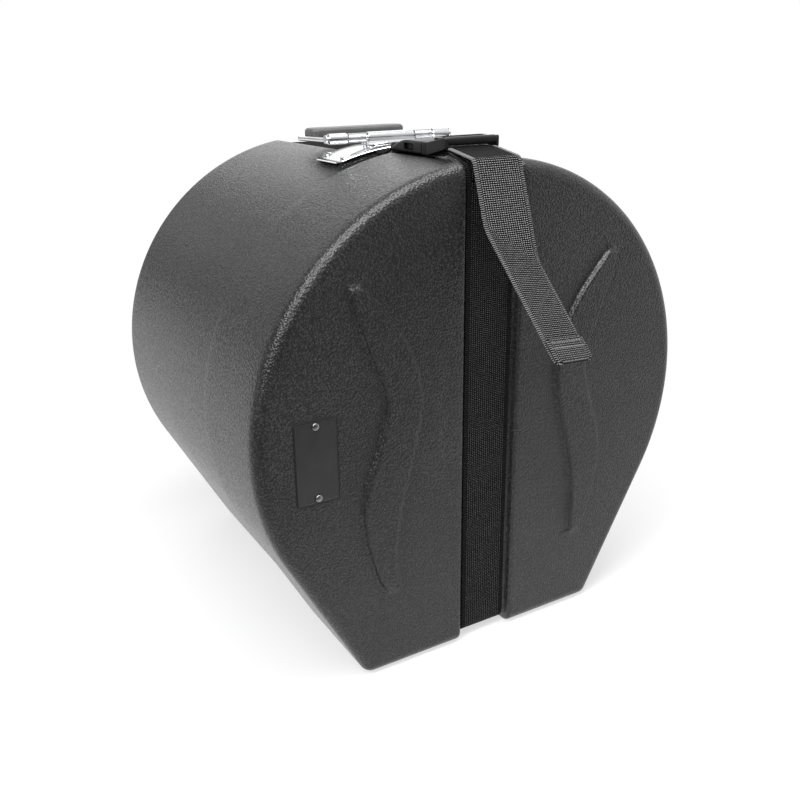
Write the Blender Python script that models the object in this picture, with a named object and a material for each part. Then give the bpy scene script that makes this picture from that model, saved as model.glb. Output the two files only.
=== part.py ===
"""Moulded drum case with a telescoping lid, a webbing strap with a side-release buckle, and a sprung handle.

The case stands on its flat base. X runs across it, Y from its lid to its back, and Z up. The origin
lies on the ground, midway between the furthest points at the left and right, front and back.
"""
import math

import bmesh
import bpy
from mathutils import Matrix, Vector

for old in list(bpy.data.objects):
    bpy.data.objects.remove(old, do_unlink=True)

# Sizes of the whole case.
CASE_HEIGHT = 0.466
CASE_WIDTH = 0.462
CASE_DEPTH = 0.384
CROWN_HALF_HEIGHT = 0.2265
FLANK_LEAN = math.radians(28.12)
BASE_CORNER_RADIUS = 0.012
LEAST_CORNER_RADIUS = 0.002
EDGE_RADIUS = 0.011
LID_DEPTH = 0.119
SHELL_WALL = 0.0035
SHELL_GAP = 0.0005
NECK_LENGTH = 0.079
STOP_LEDGE = 0.0025

# The channel that the strap lies in, all the way round the case.
CHANNEL_WIDTH = 0.057
CHANNEL_DEPTH = 0.008
CHANNEL_EDGE_RADIUS = 0.006

# The strap.
WEB_WIDTH = 0.050
WEB_THICKNESS = 0.002
WEB_LAYER_GAP = 0.0004
WEB_BEND_RADIUS = 0.0017

# The loose end of the strap leaves the rim, leans forward and bends across a skewed line.
TAIL_LENGTH = 0.184
TAIL_RIM_OUT = 0.0007
TAIL_RIM_RADIUS = 0.006
TAIL_LEAN = math.radians(19)
TAIL_BEND_START = 0.053
TAIL_BEND_RADIUS = 0.028
TAIL_BEND_TURN = math.radians(29)
TAIL_BEND_SKEW = math.radians(33)
TAIL_START = 0.014
HEM_LENGTH = 0.020

# Raised ribs on the lid's face and on the back.
RIB_HEIGHT = 0.0045
RIB_HALF_WIDTH = 0.0205
RIB_SLOPE = 0.006
RIB_FOOT_Z = 0.084
RIB_LENGTH = 0.294
RIB_NEAR_X = 0.090
RIB_SWING = 0.046

# The gap between pieces that touch, and how far a cutter runs past what it cuts.
SEAT_GAP = 0.0003
OVERRUN = 0.004

# How finely round stretches are divided.
CORNER_STEPS = 3
CROWN_STEPS = 22
EDGE_STEPS = 4
PATH_STEPS = 4
TAIL_ROWS = 20
TAIL_COLUMNS = 5
FOLD_STEPS = 4
ROUND_SIDES = 16
DOME_STEPS = 3
CRADLE_SIDES = 48
SHARP_ANGLE = math.radians(40)

BODY_INSET = SHELL_WALL + SHELL_GAP
HALF_WIDTH = CASE_WIDTH / 2
CROWN_CENTRE_Z = CASE_HEIGHT - CROWN_HALF_HEIGHT
HALF_CHANNEL = CHANNEL_WIDTH / 2
HALF_WEB = WEB_WIDTH / 2
WEB_SEAT = SEAT_GAP + WEB_THICKNESS / 2
FOLD_RADIUS = (WEB_THICKNESS + WEB_LAYER_GAP) / 2
TAIL_ACROSS = [WEB_WIDTH * (column / (TAIL_COLUMNS - 1) - 0.5) for column in range(TAIL_COLUMNS)]


def tail_point(along, across, out=0.0):
    """A point of the loose strap end, measured from the rim, with X = 0 at the strap's middle and
    Y = 0 at the rim. The webbing bends like a sheet rolled round an axis that lies askew across it."""
    down = Vector((0, -math.sin(TAIL_LEAN), -math.cos(TAIL_LEAN)))
    outward = Vector((0, -math.cos(TAIL_LEAN), math.sin(TAIL_LEAN)))
    side = Vector((1, 0, 0))
    roll_axis = side * math.cos(TAIL_BEND_SKEW) + down * math.sin(TAIL_BEND_SKEW)
    forward = down * math.cos(TAIL_BEND_SKEW) - side * math.sin(TAIL_BEND_SKEW)
    on_axis = across * math.cos(TAIL_BEND_SKEW) + along * math.sin(TAIL_BEND_SKEW)
    reach = along * math.cos(TAIL_BEND_SKEW) - across * math.sin(TAIL_BEND_SKEW)
    bent = min(max(reach - TAIL_BEND_START, 0) / TAIL_BEND_RADIUS, TAIL_BEND_TURN)
    straight = max(reach - TAIL_BEND_START - TAIL_BEND_RADIUS * TAIL_BEND_TURN, 0)
    level = min(reach, TAIL_BEND_START) + TAIL_BEND_RADIUS * math.sin(bent) + straight * math.cos(bent)
    lifted = TAIL_BEND_RADIUS * (1 - math.cos(bent)) + straight * math.sin(bent)
    normal = outward * math.cos(bent) - forward * math.sin(bent)
    return roll_axis * on_axis + forward * level + outward * lifted + normal * out, normal


def tail_rows():
    """Rows of (point, normal), measured from the rim, from where the loose end hangs free to the end
    of its sewn hem."""
    rows = []
    for row in range(TAIL_ROWS + 1):
        along = TAIL_START + (TAIL_LENGTH - TAIL_START) * row / TAIL_ROWS
        rows.append([tail_point(along, across) for across in TAIL_ACROSS])
    for step in range(1, FOLD_STEPS + 1):
        angle = math.pi * step / FOLD_STEPS
        row = []
        for across in TAIL_ACROSS:
            along = TAIL_LENGTH + FOLD_RADIUS * math.sin(angle)
            place, normal = tail_point(along, across, FOLD_RADIUS * (1 - math.cos(angle)))
            hem_start = tail_point(TAIL_LENGTH - HEM_LENGTH, across)[0]
            forward = (tail_point(along, across)[0] - hem_start).normalized()
            row.append((place, normal * math.cos(angle) - forward * math.sin(angle)))
        rows.append(row)
    last = [tail_point(TAIL_LENGTH - HEM_LENGTH, across, 2 * FOLD_RADIUS)[0] for across in TAIL_ACROSS]
    rows.append([(place, -normal) for place, (ahead, normal) in zip(last, rows[TAIL_ROWS])])
    return rows


def tail_reach():
    """How far the loose end stands out in front of the rim."""
    faces = [place + normal * side for row in tail_rows() for place, normal in row
             for side in (-WEB_THICKNESS / 2, WEB_THICKNESS / 2)]
    return -min(point.y for point in faces)


# Planes along Y, with the origin midway between the hem and the ribs on the back.
CASE_FRONT = -(CASE_DEPTH + RIB_HEIGHT - tail_reach() - TAIL_RIM_OUT) / 2
CASE_REAR = CASE_FRONT + CASE_DEPTH
SEAM_Y = CASE_FRONT + LID_DEPTH
NECK_FRONT = SEAM_Y - NECK_LENGTH


def material(name, colour, roughness, metallic):
    finish = bpy.data.materials.new(name)
    finish.use_nodes = True
    shader = finish.node_tree.nodes["Principled BSDF"]
    shader.inputs["Base Color"].default_value = (*colour, 1)
    shader.inputs["Roughness"].default_value = roughness
    shader.inputs["Metallic"].default_value = metallic
    return finish


def outline(inset):
    """The case's section across Y, drawn in by the inset: a flat base with rounded corners, straight
    flanks that lean outwards, and an elliptical crown that they run into. Starts at the base's right
    corner and goes anticlockwise."""
    wide = HALF_WIDTH - inset
    high = CROWN_HALF_HEIGHT - inset
    flank_normal = Vector((math.cos(FLANK_LEAN), -math.sin(FLANK_LEAN)))
    touch = math.atan2(high * flank_normal.y, wide * flank_normal.x)
    touch_point = Vector((wide * math.cos(touch), CROWN_CENTRE_Z + high * math.sin(touch)))
    radius = max(BASE_CORNER_RADIUS - inset, LEAST_CORNER_RADIUS)
    flank_reach = flank_normal.dot(touch_point) - radius
    centre_z = inset + radius
    centre_x = (flank_reach - flank_normal.y * centre_z) / flank_normal.x
    half = []
    first = -math.pi / 2
    last = math.atan2(flank_normal.y, flank_normal.x)
    for step in range(CORNER_STEPS + 1):
        angle = first + (last - first) * step / CORNER_STEPS
        half.append((centre_x + radius * math.cos(angle), centre_z + radius * math.sin(angle)))
    for step in range(CROWN_STEPS + 1):
        angle = touch + (math.pi / 2 - touch) * step / CROWN_STEPS
        half.append((wide * math.cos(angle), CROWN_CENTRE_Z + high * math.sin(angle)))
    top = half.pop()
    return half + [(0, top[1])] + [(-x, z) for x, z in reversed(half)]


def crown_z(x, inset):
    """Height of the crown above the ground at a distance from the middle, drawn in by the inset."""
    share = x / (HALF_WIDTH - inset)
    return CROWN_CENTRE_Z + (CROWN_HALF_HEIGHT - inset) * math.sqrt(1 - share * share)


def crown_tilt(x):
    """Angle about Y from straight up to the crown's outward direction."""
    return math.atan2(x / HALF_WIDTH ** 2, (crown_z(x, 0) - CROWN_CENTRE_Z) / CROWN_HALF_HEIGHT ** 2)


def loft_shape(rings):
    """A closed solid through rings that have as many points each."""
    count = len(rings[0])
    verts = [tuple(point) for ring in rings for point in ring]
    faces = [tuple(range(count)), tuple(reversed(range(len(verts) - count, len(verts))))]
    for ring in range(len(rings) - 1):
        for point in range(count):
            after = (point + 1) % count
            low = ring * count
            faces.append((low + point, low + count + point, low + count + after, low + after))
    return verts, faces


def box_shape(low, high):
    corners = ((0, 0), (1, 0), (1, 1), (0, 1))
    pick = (low, high)
    rings = [[(pick[a][0], pick[b][1], level) for a, b in corners] for level in (low[2], high[2])]
    return loft_shape(rings)


def turned_shape(start, direction, profile, sides=ROUND_SIDES):
    """A round solid on an axis. The profile lists (distance along the axis, radius)."""
    axis = Vector(direction).normalized()
    turn = Vector((0, 0, 1)).rotation_difference(axis).to_matrix()
    rings = []
    for distance, radius in profile:
        ring = []
        for side in range(sides):
            angle = 2 * math.pi * (side + 0.5) / sides
            local = Vector((radius * math.cos(angle), radius * math.sin(angle), distance))
            ring.append(Vector(start) + turn @ local)
        rings.append(ring)
    return loft_shape(rings)


def rod_shape(start, end, radius, sides=ROUND_SIDES):
    run = Vector(end) - Vector(start)
    return turned_shape(start, run, [(0, radius), (run.length, radius)], sides)


def edge_step(radius, step):
    """How far back and how far inwards a rounded edge's section lies at a step of its quarter turn."""
    angle = math.pi / 2 * step / EDGE_STEPS
    return radius * (1 - math.cos(angle)), radius * (1 - math.sin(angle))


def case_shape(inset, front, rear, front_radius, rear_radius):
    """The case's section drawn along Y, with its front and rear edges rounded."""
    stations = []
    for step in range(EDGE_STEPS + 1 if front_radius else 1):
        back, inwards = edge_step(front_radius, step)
        stations.append((front + back, inset + inwards))
    for step in reversed(range(EDGE_STEPS + 1 if rear_radius else 1)):
        back, inwards = edge_step(rear_radius, step)
        stations.append((rear - back, inset + inwards))
    return loft_shape([[(x, y, z) for x, z in outline(drawn_in)] for y, drawn_in in stations])


def link(name, shapes):
    mesh = bpy.data.meshes.new(name)
    verts = []
    faces = []
    for shape_verts, shape_faces in shapes:
        base = len(verts)
        verts += shape_verts
        faces += [tuple(base + corner for corner in face) for face in shape_faces]
    mesh.from_pydata(verts, [], faces)
    shaped = bmesh.new()
    shaped.from_mesh(mesh)
    bmesh.ops.recalc_face_normals(shaped, faces=shaped.faces)
    shaped.to_mesh(mesh)
    shaped.free()
    obj = bpy.data.objects.new(name, mesh)
    bpy.context.collection.objects.link(obj)
    return obj


def piece(name, shapes, finish, smooth=True):
    obj = link(name, shapes)
    obj.data.materials.append(finish)
    if smooth:
        obj.data.shade_smooth()
        obj.data.set_sharp_from_angle(angle=SHARP_ANGLE)
    return obj


def guide(name, shapes):
    """A shape that only cuts or adds to a piece."""
    obj = link(name, shapes)
    obj.hide_render = True
    obj.display_type = "WIRE"
    return obj


def combine(obj, tool, operation):
    modifier = obj.modifiers.new(tool.name, "BOOLEAN")
    modifier.object = tool
    modifier.operation = operation


def cut(obj, tool):
    combine(obj, tool, "DIFFERENCE")


def add(obj, tool):
    combine(obj, tool, "UNION")


def soften(obj, width, segments):
    modifier = obj.modifiers.new("edges", "BEVEL")
    modifier.width = width
    modifier.segments = segments
    modifier.limit_method = "ANGLE"
    modifier.angle_limit = SHARP_ANGLE


def set_origin(obj, place):
    """Moves the object's origin to its joint's axis, with its mesh left where it is."""
    obj.data.transform(Matrix.Translation(-Vector(place)))
    obj.location = place


MOULDED_PLASTIC = material("moulded polyethylene", (0.030, 0.030, 0.032), 0.45, 0.0)
BUCKLE_PLASTIC = material("buckle nylon", (0.012, 0.012, 0.013), 0.35, 0.0)
WEBBING = material("woven polypropylene", (0.035, 0.035, 0.036), 0.80, 0.0)
CHROME = material("chromed steel", (0.80, 0.80, 0.82), 0.12, 1.0)
GRIP_VINYL = material("grip vinyl", (0.015, 0.015, 0.015), 0.40, 0.0)
PLATE_FINISH = material("label plate", (0.010, 0.010, 0.011), 0.30, 0.0)
STEEL = material("zinc steel", (0.55, 0.56, 0.58), 0.30, 1.0)
FOAM = material("foam", (0.05, 0.05, 0.055), 0.95, 0.0)


# Ribs

# Share of the rib's length from its foot, of its swing away from the channel, and of its half width.
RIB_SHARES = (
    (0.00, 0.36, 0.12),
    (0.02, 0.38, 0.32),
    (0.05, 0.42, 0.46),
    (0.16, 0.53, 0.66),
    (0.29, 0.54, 0.93),
    (0.38, 0.42, 1.00),
    (0.46, 0.25, 0.95),
    (0.54, 0.10, 0.89),
    (0.62, 0.00, 0.84),
    (0.69, 0.06, 0.85),
    (0.79, 0.29, 0.90),
    (0.87, 0.54, 0.77),
    (0.94, 0.81, 0.52),
    (0.98, 0.95, 0.34),
    (1.00, 1.00, 0.14),
)
RIB_END_SHARE = 0.35


def rib_shape(side, face_y, outward):
    """One rib, standing on a face of the case and rooted in its wall."""
    root = face_y - outward * SHELL_WALL / 2
    rings = []
    for row, (length_share, swing_share, width_share) in enumerate(RIB_SHARES):
        z = RIB_FOOT_Z + RIB_LENGTH * length_share
        middle = RIB_NEAR_X + RIB_SWING * swing_share
        half = RIB_HALF_WIDTH * width_share
        slope = min(RIB_SLOPE, half / 2)
        at_end = row in (0, len(RIB_SHARES) - 1)
        crest = face_y + outward * RIB_HEIGHT * (RIB_END_SHARE if at_end else 1)
        section = ((-half, root), (-half, face_y), (slope - half, crest), (half - slope, crest),
                   (half, face_y), (half, root))
        rings.append([(side * (middle + x), y, z) for x, y in section])
    return loft_shape(rings)


# Channel tools

def channel_cutter(name, half_width, floor_inset, front, rear, floor_front, floor_rear):
    """A slab along the strap's path, less the solid that the channel's floor lies on."""
    slab = guide(name, [box_shape((-half_width, front, -OVERRUN), (half_width, rear, CASE_HEIGHT + OVERRUN))])
    edge_front = CHANNEL_EDGE_RADIUS if floor_front > front else 0
    edge_rear = CHANNEL_EDGE_RADIUS if floor_rear < rear else 0
    floor = guide(name + "_floor", [case_shape(floor_inset, floor_front, floor_rear, edge_front, edge_rear)])
    cut(slab, floor)
    return slab


# Lid shell

LID_BUMP_HALF = HALF_CHANNEL + SHELL_WALL
LID_BUMP_INSET = CHANNEL_DEPTH + SHELL_WALL
LEDGE_Y = NECK_FRONT - SEAT_GAP

lid_shell = piece("lid_shell", [case_shape(0, CASE_FRONT, SEAM_Y, EDGE_RADIUS, 0)], MOULDED_PLASTIC)
for side in (-1, 1):
    add(lid_shell, guide("lid_rib", [rib_shape(side, CASE_FRONT, -1)]))
cut(lid_shell, channel_cutter("lid_channel", HALF_CHANNEL, CHANNEL_DEPTH, CASE_FRONT - OVERRUN - RIB_HEIGHT,
                              SEAM_Y + OVERRUN, CASE_FRONT + CHANNEL_DEPTH, SEAM_Y + 2 * OVERRUN))


def lid_cavity_shape():
    """The lid's inside: a mouth that takes the neck, and behind a ledge a slightly smaller end."""
    rings = []
    deep_inset = SHELL_WALL + STOP_LEDGE
    radius = EDGE_RADIUS - SHELL_WALL
    for step in range(EDGE_STEPS + 1):
        back, inwards = edge_step(radius, step)
        rings.append((CASE_FRONT + SHELL_WALL + back, deep_inset + inwards))
    rings += [(LEDGE_Y, deep_inset), (LEDGE_Y, SHELL_WALL), (SEAM_Y + OVERRUN, SHELL_WALL)]
    return loft_shape([[(x, y, z) for x, z in outline(inset)] for y, inset in rings])


lid_cavity = guide("lid_cavity", [lid_cavity_shape()])
cut(lid_cavity, channel_cutter("lid_bump", LID_BUMP_HALF, LID_BUMP_INSET, CASE_FRONT, SEAM_Y + 2 * OVERRUN,
                               CASE_FRONT + LID_BUMP_INSET, SEAM_Y + 3 * OVERRUN))
cut(lid_shell, lid_cavity)


# Label plate, riveted in a shallow recess on the lid's face

LABEL_WIDTH = 0.040
LABEL_HEIGHT = 0.076
LABEL_THICKNESS = 0.0012
LABEL_SET_IN = 0.055
LABEL_Z = 0.232
LABEL_RECESS = 0.0008
LABEL_MARGIN = 0.0008
LABEL_RIVET_SPREAD = 0.065
LABEL_RIVET_RADIUS = 0.0016
LABEL_HEAD_RADIUS = 0.0034
LABEL_HEAD_HEIGHT = 0.0016
LABEL_TAIL_RADIUS = 0.0028
LABEL_TAIL_HEIGHT = 0.0012
HOLE_GAP = 0.0003

LABEL_X = LABEL_SET_IN - HALF_WIDTH
label_back = CASE_FRONT + LABEL_RECESS - SEAT_GAP
label_front = label_back - LABEL_THICKNESS
recess_half = (LABEL_WIDTH / 2 + LABEL_MARGIN, LABEL_HEIGHT / 2 + LABEL_MARGIN)
cut(lid_shell, guide("label_recess", [box_shape(
    (LABEL_X - recess_half[0], CASE_FRONT - OVERRUN, LABEL_Z - recess_half[1]),
    (LABEL_X + recess_half[0], CASE_FRONT + LABEL_RECESS, LABEL_Z + recess_half[1]))]))
label_plate = piece("label_plate", [box_shape(
    (LABEL_X - LABEL_WIDTH / 2, label_front, LABEL_Z - LABEL_HEIGHT / 2),
    (LABEL_X + LABEL_WIDTH / 2, label_back, LABEL_Z + LABEL_HEIGHT / 2))], PLATE_FINISH, smooth=False)


def dome_profile(radius, height):
    """A rivet's head from its flat underside out to its crown."""
    profile = [(0, radius)]
    for step in range(1, DOME_STEPS + 1):
        angle = math.pi / 2 * step / (DOME_STEPS + 0.5)
        profile.append((height * math.sin(angle), radius * math.cos(angle)))
    return profile


def rivet_shape(seat, outward, head_radius, head_height, shank_radius, grip, tail_radius, tail_height):
    """A domed head, a shank through what it holds, and a tail closed behind it."""
    head = [(SEAT_GAP + distance, radius) for distance, radius in dome_profile(head_radius, head_height)]
    behind = -grip - SEAT_GAP
    profile = [(behind - tail_height, tail_radius), (behind, tail_radius), (behind, shank_radius),
               (SEAT_GAP, shank_radius)] + head
    return turned_shape(seat, outward, profile)


label_grip = CASE_FRONT + SHELL_WALL - label_front
for name, side in (("label_rivet_bottom", -1), ("label_rivet_top", 1)):
    seat = (LABEL_X, label_front, LABEL_Z + side * LABEL_RIVET_SPREAD / 2)
    piece(name, [rivet_shape(seat, (0, -1, 0), LABEL_HEAD_RADIUS, LABEL_HEAD_HEIGHT, LABEL_RIVET_RADIUS,
                             label_grip, LABEL_TAIL_RADIUS, LABEL_TAIL_HEIGHT)], STEEL)
    hole = guide(name + "_hole", [rod_shape((seat[0], CASE_FRONT - OVERRUN, seat[2]),
                                            (seat[0], CASE_FRONT + SHELL_WALL + OVERRUN, seat[2]),
                                            LABEL_RIVET_RADIUS + HOLE_GAP)])
    cut(label_plate, hole)
    cut(lid_shell, hole)


# Body shell, with the neck that the lid slides over

BODY_HALF_CHANNEL = LID_BUMP_HALF + SHELL_GAP
BODY_FLOOR_INSET = BODY_INSET + CHANNEL_DEPTH
BODY_BUMP_HALF = BODY_HALF_CHANNEL + SHELL_WALL
BODY_BUMP_INSET = BODY_FLOOR_INSET + SHELL_WALL
PAD_HALF_WIDTH = 0.0745
PAD_FRONT_BEYOND_SEAM = 0.023
PAD_LENGTH = 0.050
PAD_STEPS = 12
SKID_INNER_X = 0.055
SKID_WIDTH = 0.050
SKID_SET_BACK = 0.010

pad_front = SEAM_Y + PAD_FRONT_BEYOND_SEAM


def crown_slab_shape(half_width, front, rear, top_inset, bottom_inset, steps):
    """A slab that follows the crown on both of its faces."""
    across = [half_width * (2 * step / steps - 1) for step in range(steps + 1)]
    section = [(x, crown_z(x, bottom_inset)) for x in across]
    section += [(x, crown_z(x, top_inset)) for x in reversed(across)]
    return loft_shape([[(x, y, z) for x, z in section] for y in (front, rear)])


BODY_EDGE_RADIUS = EDGE_RADIUS - BODY_INSET / 2

body_shell = piece("body_shell", [case_shape(BODY_INSET, NECK_FRONT, CASE_REAR, 0, BODY_EDGE_RADIUS)],
                   MOULDED_PLASTIC)
for side in (-1, 1):
    add(body_shell, guide("body_rib", [rib_shape(side, CASE_REAR, 1)]))
    skid = sorted((side * SKID_INNER_X, side * (SKID_INNER_X + SKID_WIDTH)))
    add(body_shell, guide("skid", [box_shape(
        (skid[0], SEAM_Y + SKID_SET_BACK, 0),
        (skid[1], CASE_REAR - EDGE_RADIUS - SKID_SET_BACK, BODY_INSET + SHELL_WALL / 2))]))
add(body_shell, guide("handle_pad", [crown_slab_shape(PAD_HALF_WIDTH, pad_front, pad_front + PAD_LENGTH, 0,
                                                      BODY_INSET + SHELL_WALL / 2, PAD_STEPS)]))

cut(body_shell, channel_cutter("body_channel", BODY_HALF_CHANNEL, BODY_FLOOR_INSET, NECK_FRONT - OVERRUN,
                               CASE_REAR + OVERRUN + RIB_HEIGHT, NECK_FRONT - 2 * OVERRUN,
                               CASE_REAR - CHANNEL_DEPTH))
body_cavity = guide("body_cavity", [case_shape(
    BODY_INSET + SHELL_WALL, NECK_FRONT - OVERRUN, CASE_REAR - SHELL_WALL, 0, BODY_EDGE_RADIUS - SHELL_WALL)])
cut(body_cavity, channel_cutter(
    "body_bump", BODY_BUMP_HALF, BODY_BUMP_INSET, NECK_FRONT - 2 * OVERRUN, CASE_REAR,
    NECK_FRONT - 3 * OVERRUN, CASE_REAR - CHANNEL_DEPTH - SHELL_WALL))
cut(body_shell, body_cavity)


# Foam: an end pad in each shell, and two blocks that cradle the drum

FOAM_GAP = 0.0003
END_PAD_THICKNESS = 0.013
CRADLE_DRUM_RADIUS = 0.205
CRADLE_TOP_Z = 0.105
CRADLE_CLEARANCE = 0.002


lid_pad_front = CASE_FRONT + SHELL_WALL + FOAM_GAP
lid_pad = piece("lid_end_pad", [case_shape(
    SHELL_WALL + STOP_LEDGE + FOAM_GAP, lid_pad_front, lid_pad_front + END_PAD_THICKNESS,
    EDGE_RADIUS - SHELL_WALL, 0)], FOAM)
cut(lid_pad, channel_cutter("lid_pad_bump", LID_BUMP_HALF + FOAM_GAP, LID_BUMP_INSET + FOAM_GAP, CASE_FRONT,
                            SEAM_Y, CASE_FRONT + LID_BUMP_INSET + FOAM_GAP, SEAM_Y + OVERRUN))
body_pad_rear = CASE_REAR - SHELL_WALL - FOAM_GAP
body_pad_face = body_pad_rear - END_PAD_THICKNESS
body_pad = piece("body_end_pad", [case_shape(
    BODY_INSET + SHELL_WALL + FOAM_GAP, body_pad_face, body_pad_rear, 0, EDGE_RADIUS - SHELL_WALL)], FOAM)
cut(body_pad, channel_cutter("body_pad_bump", BODY_BUMP_HALF + FOAM_GAP, BODY_BUMP_INSET + FOAM_GAP, SEAM_Y,
                             CASE_REAR, SEAM_Y - OVERRUN, CASE_REAR - CHANNEL_DEPTH - SHELL_WALL - FOAM_GAP))
for name, side in (("label_rivet_bottom_room", -1), ("label_rivet_top_room", 1)):
    seat_z = LABEL_Z + side * LABEL_RIVET_SPREAD / 2
    tail_room = LABEL_TAIL_RADIUS + FOAM_GAP
    cut(lid_pad, guide(name, [rod_shape(
        (LABEL_X, CASE_FRONT, seat_z),
        (LABEL_X, CASE_FRONT + SHELL_WALL + SEAT_GAP + LABEL_TAIL_HEIGHT + FOAM_GAP, seat_z), tail_room)]))

cradle_front = NECK_FRONT + CRADLE_CLEARANCE
cradle_rear = body_pad_face - FOAM_GAP
for name, side in (("cradle_block_left", -1), ("cradle_block_right", 1)):
    block_inset = BODY_INSET + SHELL_WALL + FOAM_GAP
    block = piece(name, [case_shape(block_inset, cradle_front, cradle_rear, 0, 0)], FOAM)
    inner = side * (BODY_BUMP_HALF + CRADLE_CLEARANCE)
    edges = sorted((inner, -side * CASE_WIDTH))
    cut(block, guide(name + "_inner", [box_shape((edges[0], cradle_front - OVERRUN, -OVERRUN),
                                                (edges[1], cradle_rear + OVERRUN, CASE_HEIGHT + OVERRUN))]))
    cut(block, guide(name + "_top", [box_shape((-CASE_WIDTH, cradle_front - OVERRUN, CRADLE_TOP_Z),
                                               (CASE_WIDTH, cradle_rear + OVERRUN, CASE_HEIGHT + OVERRUN))]))
    cut(block, guide(name + "_drum", [rod_shape((0, cradle_front - OVERRUN, CROWN_CENTRE_Z),
                                                (0, cradle_rear + OVERRUN, CROWN_CENTRE_Z),
                                                CRADLE_DRUM_RADIUS, CRADLE_SIDES)]))


# Webbing

def rounded_path(corners):
    """Points along a run in the (Y, Z) plane through corners that each list (y, z, radius)."""
    path = [Vector(corners[0][:2])]
    for before, corner, after in zip(corners, corners[1:], corners[2:]):
        place = Vector(corner[:2])
        to_before = (Vector(before[:2]) - place).normalized()
        to_after = (Vector(after[:2]) - place).normalized()
        opening = to_before.angle(to_after)
        setback = corner[2] / math.tan(opening / 2)
        middle = place + (to_before + to_after).normalized() * corner[2] / math.sin(opening / 2)
        first = place + to_before * setback - middle
        turn = (math.pi - opening) * (1 if to_before.cross(to_after) < 0 else -1)
        for step in range(PATH_STEPS + 1):
            angle = turn * step / PATH_STEPS
            path.append(middle + Matrix.Rotation(angle, 2) @ first)
    path.append(Vector(corners[-1][:2]))
    return path


def path_rows(path, across):
    """Rows of (point, normal) across the webbing for each point of a run."""
    rows = []
    for index, place in enumerate(path):
        before = path[max(index - 1, 0)]
        after = path[min(index + 1, len(path) - 1)]
        tangent = (after - before).normalized()
        normal = Vector((0, tangent.y, -tangent.x))
        rows.append([(Vector((x, place.x, place.y)), normal) for x in across])
    return rows


def ribbon_shape(rows):
    rings = []
    for row in rows:
        over = [point + normal * (WEB_THICKNESS / 2) for point, normal in row]
        under = [point - normal * (WEB_THICKNESS / 2) for point, normal in row]
        rings.append(over + under[::-1])
    return loft_shape(rings)


FRONT_RUN_TOP_Z = 0.448
STRAP_CORNER_RADIUS = CHANNEL_EDGE_RADIUS + WEB_SEAT
SEAM_RAMP = 0.016
RAMP_RADIUS = 0.012
WEB_ENDS = (-HALF_WEB, HALF_WEB)

front_run_y = CASE_FRONT + CHANNEL_DEPTH - WEB_SEAT
lid_run_z = CHANNEL_DEPTH - WEB_SEAT
piece("strap_front_run", [ribbon_shape(path_rows(rounded_path([
    (front_run_y, FRONT_RUN_TOP_Z - SEAT_GAP, 0),
    (front_run_y, lid_run_z, STRAP_CORNER_RADIUS),
    (SEAM_Y - SEAT_GAP, lid_run_z, 0)]), WEB_ENDS))], WEBBING)


# Side-release buckle: the socket on the body's strap, the plug with its adjuster, and its two prongs

BUCKLE_WIDTH = 0.0568
BUCKLE_THICKNESS = 0.0115
BUCKLE_SINK = 0.0014
BUCKLE_EDGE = 0.0015
ADJUSTER_SET_BACK = 0.034
ADJUSTER_LENGTH = 0.030
ADJUSTER_BASE_RISE = 0.0065
ADJUSTER_TOP_RISE = 0.0055
RAIL_WIDTH = 0.0034
FRONT_BAR_DEPTH = 0.007
FRONT_BAR_HEIGHT = 0.0072
MIDDLE_BAR_SET_BACK = 0.0155
MIDDLE_BAR_DEPTH = 0.006
MIDDLE_BAR_HEIGHT = 0.006
MIDDLE_BAR_RISE = 0.0084
PLUG_BLOCK_LENGTH = 0.008
TONGUE_HALF_WIDTH = 0.004
TONGUE_LENGTH = 0.028
TONGUE_HEIGHT = 0.0046
SOCKET_LENGTH = 0.0577
SOCKET_HALF_THROAT = 0.0262
SOCKET_THROAT_HEIGHT = 0.006
SOCKET_THROAT_LENGTH = 0.036
SOCKET_FLOOR = 0.003
WINDOW_START = 0.013
WINDOW_LENGTH = 0.017
REAR_BAR_DEPTH = 0.0063
REAR_SLOT = 0.005
REAR_SLOT_HALF_WIDTH = 0.0258
REAR_BAR_RISE = 0.0008
REAR_BAR_HEIGHT = 0.0032
# Along the socket: share of its length, of its thickness and of its width
SOCKET_SHARES = ((0.00, 1.00, 1.00), (0.50, 1.00, 1.00), (0.64, 0.90, 1.00), (0.76, 0.66, 0.995),
                 (0.90, 0.44, 0.985), (1.00, 0.36, 0.955))
PRONG_ROOT_X = 0.0135
PRONG_ROOT_WIDTH = 0.0045
PRONG_LENGTH = 0.030
PRONG_SHOULDER = 0.012
PRONG_THICKNESS = 0.005
PRONG_OUTER_GAP = 0.0006

adjuster_front = CASE_FRONT + ADJUSTER_SET_BACK
plug_block_front = adjuster_front + ADJUSTER_LENGTH
plug_shoulder = plug_block_front + PLUG_BLOCK_LENGTH
buckle_base = CASE_HEIGHT - BUCKLE_SINK
buckle_top = buckle_base + BUCKLE_THICKNESS
half_buckle = BUCKLE_WIDTH / 2
throat_base = buckle_base + SOCKET_FLOOR
throat_middle_z = throat_base + SOCKET_THROAT_HEIGHT / 2
middle_bar_front = adjuster_front + MIDDLE_BAR_SET_BACK
middle_bar_base = buckle_base + MIDDLE_BAR_RISE
front_bar_top = buckle_top + ADJUSTER_TOP_RISE
front_bar_base = front_bar_top - FRONT_BAR_HEIGHT

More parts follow.
